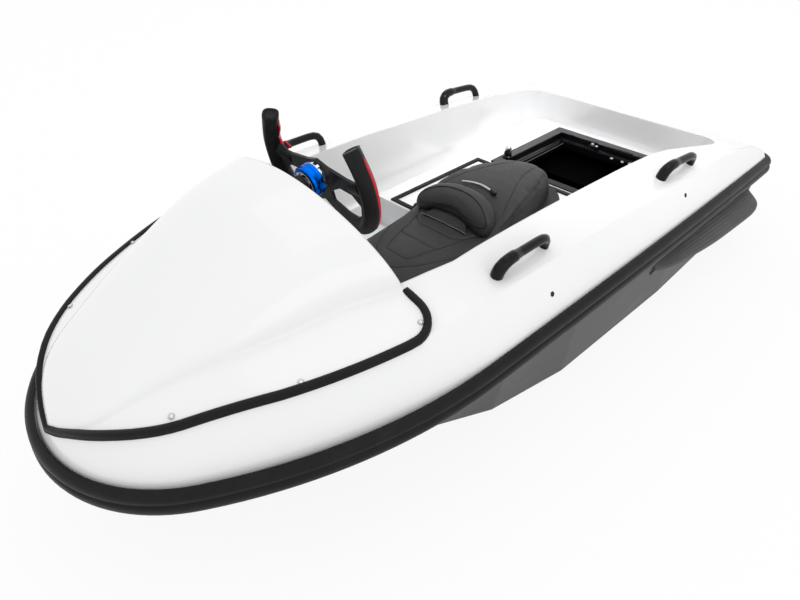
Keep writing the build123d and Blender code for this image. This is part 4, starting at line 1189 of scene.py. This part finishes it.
# Painted highlight: a grey strip along the inner frame's starboard side stands for its lit edge
LINE_GAP = 0.010
LINE_WIDTH = 0.0025
LINE_TOP = LEDGE_TOP - 0.008
LINE_LOW = LEDGE_TOP - 0.012
LINE_EDGE = 0.0005
PULL = (0.628, -0.190, RIM_TOP)
PULL_BASE = ((0, 0.017), (0.006, 0.017), (0.009, 0.014), (0.022, 0.0125), (0.026, 0.010), (0.026, 0.001))
BALL_RADIUS = 0.0105
BALL_FOOT = 0.024
RING_RADIUS = 0.019
RING_MIDDLE = 0.022
CATCH = (0.322, -0.045, LEDGE_TOP)
CATCH_BOSSES = (((0, 0.012), (0.008, 0.012), (0.010, 0.010), (0.010, 0.001)),
                ((0, 0.009), (0.012, 0.009), (0.014, 0.007), (0.014, 0.001)))
CATCH_STEP = Vector((0.010, 0.022, 0))
# Bolt heads: station, breadth and height over the ledge
BOLTS = ((0.322, -0.045, 0.010), (0.332, -0.023, 0.010), (0.350, 0.052, -0.006), (0.350, 0.094, -0.006),
         (0.345, 0.120, -0.006))
BOLT_HEAD = ((0, 0.0062), (0.003, 0.0062), (0.0055, 0.0042), (0.0062, 0.0012))
SOLE_SCREW = ((0, 0.0042), (0.0012, 0.0040), (0.0018, 0.0026), (0.0014, 0.0006))
SOLE_SCREW_PLACE = (0.735, 0.225, PLATFORM)
UP = (0, 0, 1)


def block(name, low, high, material, edge=0.0015):
    """A box between two corners, measured from the stern, with small bevels."""
    deselect()
    low, high = stern_place(*low), stern_place(*high)
    bpy.ops.mesh.primitive_cube_add(size=1)
    piece = bpy.context.object
    piece.name = name
    for vertex in piece.data.vertices:
        vertex.co = [low[k] + (high[k] - low[k]) * (vertex.co[k] + 0.5) for k in range(3)]
    add_modifier(piece, "BEVEL", width=edge, segments=2)
    return finish_piece(piece, material)


def hatch():
    """Gloss ledges, a grey rim with stepped notches, an inner frame with a grey strip of painted highlight, a
    ring pull, a catch and bolts.
    """
    rear, front, half = HATCH
    back, inner, low = rear + LEDGE, LEDGE - half, LEDGE_TOP - LEDGE_THICK
    block("hatch_ledge_rear", (rear, -half, low), (back, half, LEDGE_TOP), GLOSS)
    block("hatch_ledge_starboard", (back, -half, low), (front, inner, LEDGE_TOP), GLOSS)
    block("hatch_rim_rear", (rear - RIM_OUT, -half - RIM_OUT, RIM_LOW),
          (rear + RIM_IN, half + RIM_OUT, RIM_TOP), WING, RIM_EDGE)
    block("hatch_rim_starboard", (rear + RIM_IN, -half - RIM_OUT, RIM_LOW),
          (front + RIM_OUT, RIM_IN - half, RIM_TOP), WING, RIM_EDGE)
    parts = []
    for start, end, depth in NOTCHES:
        parts.append(block("hatch_notch", (rear + NOTCH_ENDS[0] - depth, start, NOTCH_LOW),
                           (rear + NOTCH_ENDS[1], end, NOTCH_TOP), GLOSS, RIM_EDGE))
    parts.append(block("hatch_inner_rear", (back - INNER_LAP, inner, INNER_LOW),
                       (back + INNER_REAR, half, INNER_TOP), GLOSS, INNER_EDGE))
    parts.append(block("hatch_inner_side", (back, inner - INNER_LAP, INNER_LOW),
                       (front, inner + INNER_SIDE, INNER_TOP), GLOSS, INNER_EDGE))
    join("hatch_inner_frame", parts)
    # Painted highlight: a grey strip laid along the inner frame for its lit edge
    block("hatch_painted_highlight_line", (back + LINE_GAP + INNER_LAP, inner + LINE_GAP, LINE_LOW),
          (front - LINE_GAP, inner + LINE_GAP + LINE_WIDTH, LINE_TOP), WING, LINE_EDGE)
    pull = stern_place(*PULL)
    finish_piece(turned("pull_base", PULL_BASE, pull, UP, 32), GLOSS, angle=30)
    ball = [(BALL_FOOT + BALL_RADIUS * (1 - cos(radians(turn))), BALL_RADIUS * sin(radians(turn)) + 0.0001)
            for turn in range(0, 181, 12)]
    finish_piece(turned("pull_ball", ball, pull, UP, 32), CHROME, angle=60)
    hoop = [pull + Vector((RING_RADIUS * cos(turn), 0, RING_MIDDLE + RING_RADIUS * sin(turn)))
            for turn in [radians(k) for k in range(-30, 211, 12)]]
    finish_piece(round_tube("pull_ring", hoop, 0.0016, sides=10, upward=(0, 1, 0)), STEEL)
    catch = [turned("catch_boss", profile, stern_place(*CATCH) + CATCH_STEP * k, UP, 24)
             for k, profile in enumerate(CATCH_BOSSES)]
    finish_piece(join("hatch_catch", catch), GLOSS, angle=30)
    bolts = [turned("bolt_head", BOLT_HEAD, stern_place(x, y, LEDGE_TOP + lift), UP, 20)
             for x, y, lift in BOLTS]
    finish_piece(join("hatch_bolts", bolts), STEEL, angle=40)
    screw = turned("sole_screw", SOLE_SCREW, stern_place(*SOLE_SCREW_PLACE), UP, 16)
    finish_piece(screw, STEEL, angle=30)


# Sponsons. Columns: station, breadth and height of the root, breadth and height of the outer edge

SPONSON = (
    (0.806, 0.470, 0.200, 0.480, 0.197), (0.790, 0.458, 0.203, 0.486, 0.194),
    (0.740, 0.449, 0.206, 0.500, 0.190), (0.647, 0.445, 0.208, 0.510, 0.184),
    (0.560, 0.443, 0.206, 0.513, 0.175), (0.475, 0.441, 0.204, 0.5145, 0.168),
    (0.336, 0.438, 0.202, 0.5145, 0.162), (0.240, 0.436, 0.200, 0.5135, 0.159),
    (0.195, 0.435, 0.198, 0.508, 0.160), (0.168, 0.434, 0.196, 0.495, 0.163),
    (0.152, 0.433, 0.194, 0.472, 0.172), (0.148, 0.433, 0.192, 0.440, 0.188),
)
WING_ROOT = 0.430
WING_PITCH = 0.0085
WING_RIB = 0.0009
WING_CROWN = 0.004
WING_EDGE = 0.004
WING_THICK = 0.022
WING_UNDER = 0.006
WING_TAB = ((0.815, 0.462, 0.216), (0.815, 0.466, 0.196), (0.815, 0.470, 0.176))


def sponson(side, label):
    """A ribbed wing that slopes outwards and down from the hull."""
    rows = []
    table = sorted(SPONSON)
    for station in [place.x for place in smooth_line([(row[0], 0, 0) for row in SPONSON], 3)]:
        root_y, root_z, edge_y, edge_z = [through(table, station, column) for column in range(1, 5)]
        section = []
        for share in [k / 60 for k in range(61)]:
            y = root_y + (edge_y - root_y) * share
            rib = WING_RIB * abs(sin(pi * (y - WING_ROOT) / WING_PITCH))
            section.append((y, root_z + (edge_z - root_z) * share + WING_CROWN * sin(pi * share) + rib))
        for share in (1.0, 0.98, 0.6, 0.25, 0.0):
            y = root_y + (edge_y - root_y) * share
            thick = WING_EDGE + WING_THICK * (1 - share) + WING_UNDER * min(share * 3, 1)
            section.append((y, root_z + (edge_z - root_z) * share - thick))
        rows.append([stern_place(station, side * y, z) for y, z in section])
    piece = close_holes(skin("sponson_" + label + "_ribbed", rows, around=True))
    finish_piece(piece, WING, replaces=("sponson_" + label,), angle=70)
    tab = [stern_place(x, side * y, z) for x, y, z in WING_TAB]
    piece = round_tube("sponson_tab_" + label, tab, 0.0075, sides=12, upward=(1, 0, 0), flat=0.35)
    finish_piece(piece, GLOSS)


# Screws in the cowl's flange and the drain holes in the sides; each hole is a gloss black disc, its black
# painted shade

SCREWS = ((2.126, 0.231), (1.917, 0.345), (1.655, 0.398))
SIDE_HOLES = ((1.310, 0.367), (0.670, 0.367))
SCREW_LEAN = 0.10
WASHER = ((0, 0.0064), (0.0010, 0.0064), (0.0014, 0.0056), (0.0008, 0.0044))
SCREW_HEAD = ((0.0004, 0.0043), (0.0022, 0.0042), (0.0032, 0.0032), (0.0034, 0.0022), (0.0024, 0.0016),
              (0.0024, 0.0002))
SIDE_HOLE = ((0, 0.0066), (0.0012, 0.0062), (0.0014, 0.0052), (0.0008, 0.0044), (0.0008, 0.0002))
SEAT_GAP = 0.0006


def fastenings():
    heads, washers, holes = [], [], []
    for side, _ in SIDES:
        normal = Vector((SCREW_LEAN, side * sin(DECK_TILT), cos(DECK_TILT))).normalized()
        for x, y in SCREWS:
            place = stern_place(x, side * y, flange_height(x, y) + SEAT_GAP)
            washers.append(turned("washer", WASHER, place, normal, 28))
            heads.append(turned("screw_head", SCREW_HEAD, place, normal, 24))
        normal = Vector((0, side * cos(SIDE_TILT), sin(SIDE_TILT)))
        # Painted shade: each drain hole is a solid gloss black disc that stands for the shade within the hole
        for x, z in SIDE_HOLES:
            breadth = half_breadth(x, -(z - JOINT[0][1]) * SIDE_LEAN, DECK_HALF_BEAM)
            place = stern_place(x, side * breadth, z) - normal * SEAT_GAP
            holes.append(turned("side_hole", SIDE_HOLE, place, normal, 24))
    finish_piece(join("cowl_washers", washers), STEEL, angle=30)
    finish_piece(join("cowl_screws", heads), CHROME, angle=30)
    finish_piece(join("side_holes", holes), GLOSS, angle=40)


cowl()
cowl_trim()
rub_rail()
saddle()
bolster()
for side, side_name in SIDES:
    grip(side, side_name)
    sponson(side, side_name)
    for label, station, breadth in HANDLES:
        handle(label, station, breadth, side, side_name)
hub_rings()
hatch()
fastenings()


# Floor, light and camera

FLOOR_SIZE = 60
FLOOR_WHITE = 0.90
SKY_LEVEL = 0.90
WHITE = (1, 1, 1)
WHITE_RAYS = ("Is Camera Ray", "Is Glossy Ray", "Is Transmission Ray")


def plain_white(nodes, kind):
    """A shader of plain white, and 1 where the camera, a reflection or clear glass looks."""
    shader = nodes.node(kind, {}, {"Color": (*WHITE, 1), "Strength": 1.0})
    camera, reflection, glass = [nodes.node("ShaderNodeLightPath", output=ray) for ray in WHITE_RAYS]
    return shader, camera.most(reflection).most(glass)


def studio_floor():
    bpy.ops.mesh.primitive_plane_add(size=FLOOR_SIZE)
    floor = bpy.context.object
    floor.name = "studio_floor"
    finish = Finish("studio_floor", WHITE, 1.0, specular_ior_level=0.0)
    floor.data.materials.append(finish.material)
    white, seen = plain_white(finish, "ShaderNodeEmission")
    lit = Wire(finish, finish.shader.outputs[0])
    mixed = finish.node("ShaderNodeMixShader", {}, {0: seen * FLOOR_WHITE, 1: lit, 2: white})
    finish.tree.links.new(mixed.socket, finish.tree.nodes["Material Output"].inputs[0])


def sky():
    world = bpy.context.scene.world or bpy.data.worlds.new("studio")
    bpy.context.scene.world = world
    world.use_nodes = True
    world.node_tree.nodes.clear()
    nodes = Nodes(world.node_tree)
    soft = nodes.node("ShaderNodeBackground", {}, {"Color": (*WHITE, 1), "Strength": SKY_LEVEL})
    white, seen = plain_white(nodes, "ShaderNodeBackground")
    mixed = nodes.node("ShaderNodeMixShader", {}, {0: seen, 1: soft, 2: white})
    nodes.tree.links.new(mixed.socket, nodes.tree.nodes.new("ShaderNodeOutputWorld").inputs[0])


# Lamps. Columns: name, place, what it points at, size, power in watts, spread in degrees
LAMPS = (
    ("key", (0.6, 3.6, 1.7), (0, 0, 0.3), (3.0, 1.6), 9, 180),
    ("top", (-0.4, 0.0, 4.0), (0, 0, 0.3), (4.0, 2.5), 12, 180),
    ("back", (-3.0, -2.0, 2.6), (0, 0, 0.3), (2.5, 1.8), 8, 180),
    ("cockpit", (-0.30, 0.75, 2.1), (-0.50, -0.30, 0.33), (0.6, 0.4), 1.7, 46),
)


def lamp(name, place, target, size, power, spread):
    """A soft rectangular lamp that points at a place."""
    data = bpy.data.lights.new(name, "AREA")
    data.shape = "RECTANGLE"
    data.size, data.size_y = size
    data.energy = power
    data.spread = radians(spread)
    light = bpy.data.objects.new(name, data)
    bpy.context.scene.collection.objects.link(light)
    light.location = place
    light.rotation_euler = (Vector(target) - Vector(place)).to_track_quat("-Z", "Y").to_euler()


# Photograph's camera. Its size, focal length and middle are in the photograph's pixels
PHOTO_WIDTH = 800
PHOTO_HEIGHT = 600
PHOTO_MIDDLE = (381.72, 250.50)
FOCAL_PIXELS = 693.83
CAMERA_PLACE = (1.2676, 1.1621, 1.3114)
CAMERA_TURNS = (-131.574, -32.822, -2.042)
SENSOR_WIDTH = 36.0


def photograph_camera():
    """The photograph's camera: place, heading, pitch, roll and lens."""
    yaw, pitch, roll = [radians(turn) for turn in CAMERA_TURNS]
    ahead = Vector((cos(pitch) * cos(yaw), cos(pitch) * sin(yaw), sin(pitch)))
    right = ahead.cross(Vector((0, 0, 1))).normalized()
    up = right.cross(ahead)
    right, up = right * cos(roll) + up * sin(roll), up * cos(roll) - right * sin(roll)
    data = bpy.data.cameras.new("camera")
    data.sensor_width = SENSOR_WIDTH
    data.sensor_fit = "HORIZONTAL"
    data.lens = SENSOR_WIDTH * FOCAL_PIXELS / PHOTO_WIDTH
    data.shift_x = (PHOTO_WIDTH / 2 - PHOTO_MIDDLE[0]) / PHOTO_WIDTH
    data.shift_y = (PHOTO_MIDDLE[1] - PHOTO_HEIGHT / 2) / PHOTO_WIDTH
    camera = bpy.data.objects.new("camera", data)
    bpy.context.scene.collection.objects.link(camera)
    turn = Matrix((right, up, -ahead)).transposed()
    camera.matrix_world = Matrix.Translation(Vector(CAMERA_PLACE)) @ turn.to_4x4()
    bpy.context.scene.camera = camera


studio_floor()
sky()
for row in LAMPS:
    lamp(*row)
photograph_camera()
bpy.context.scene.view_settings.view_transform = "Standard"
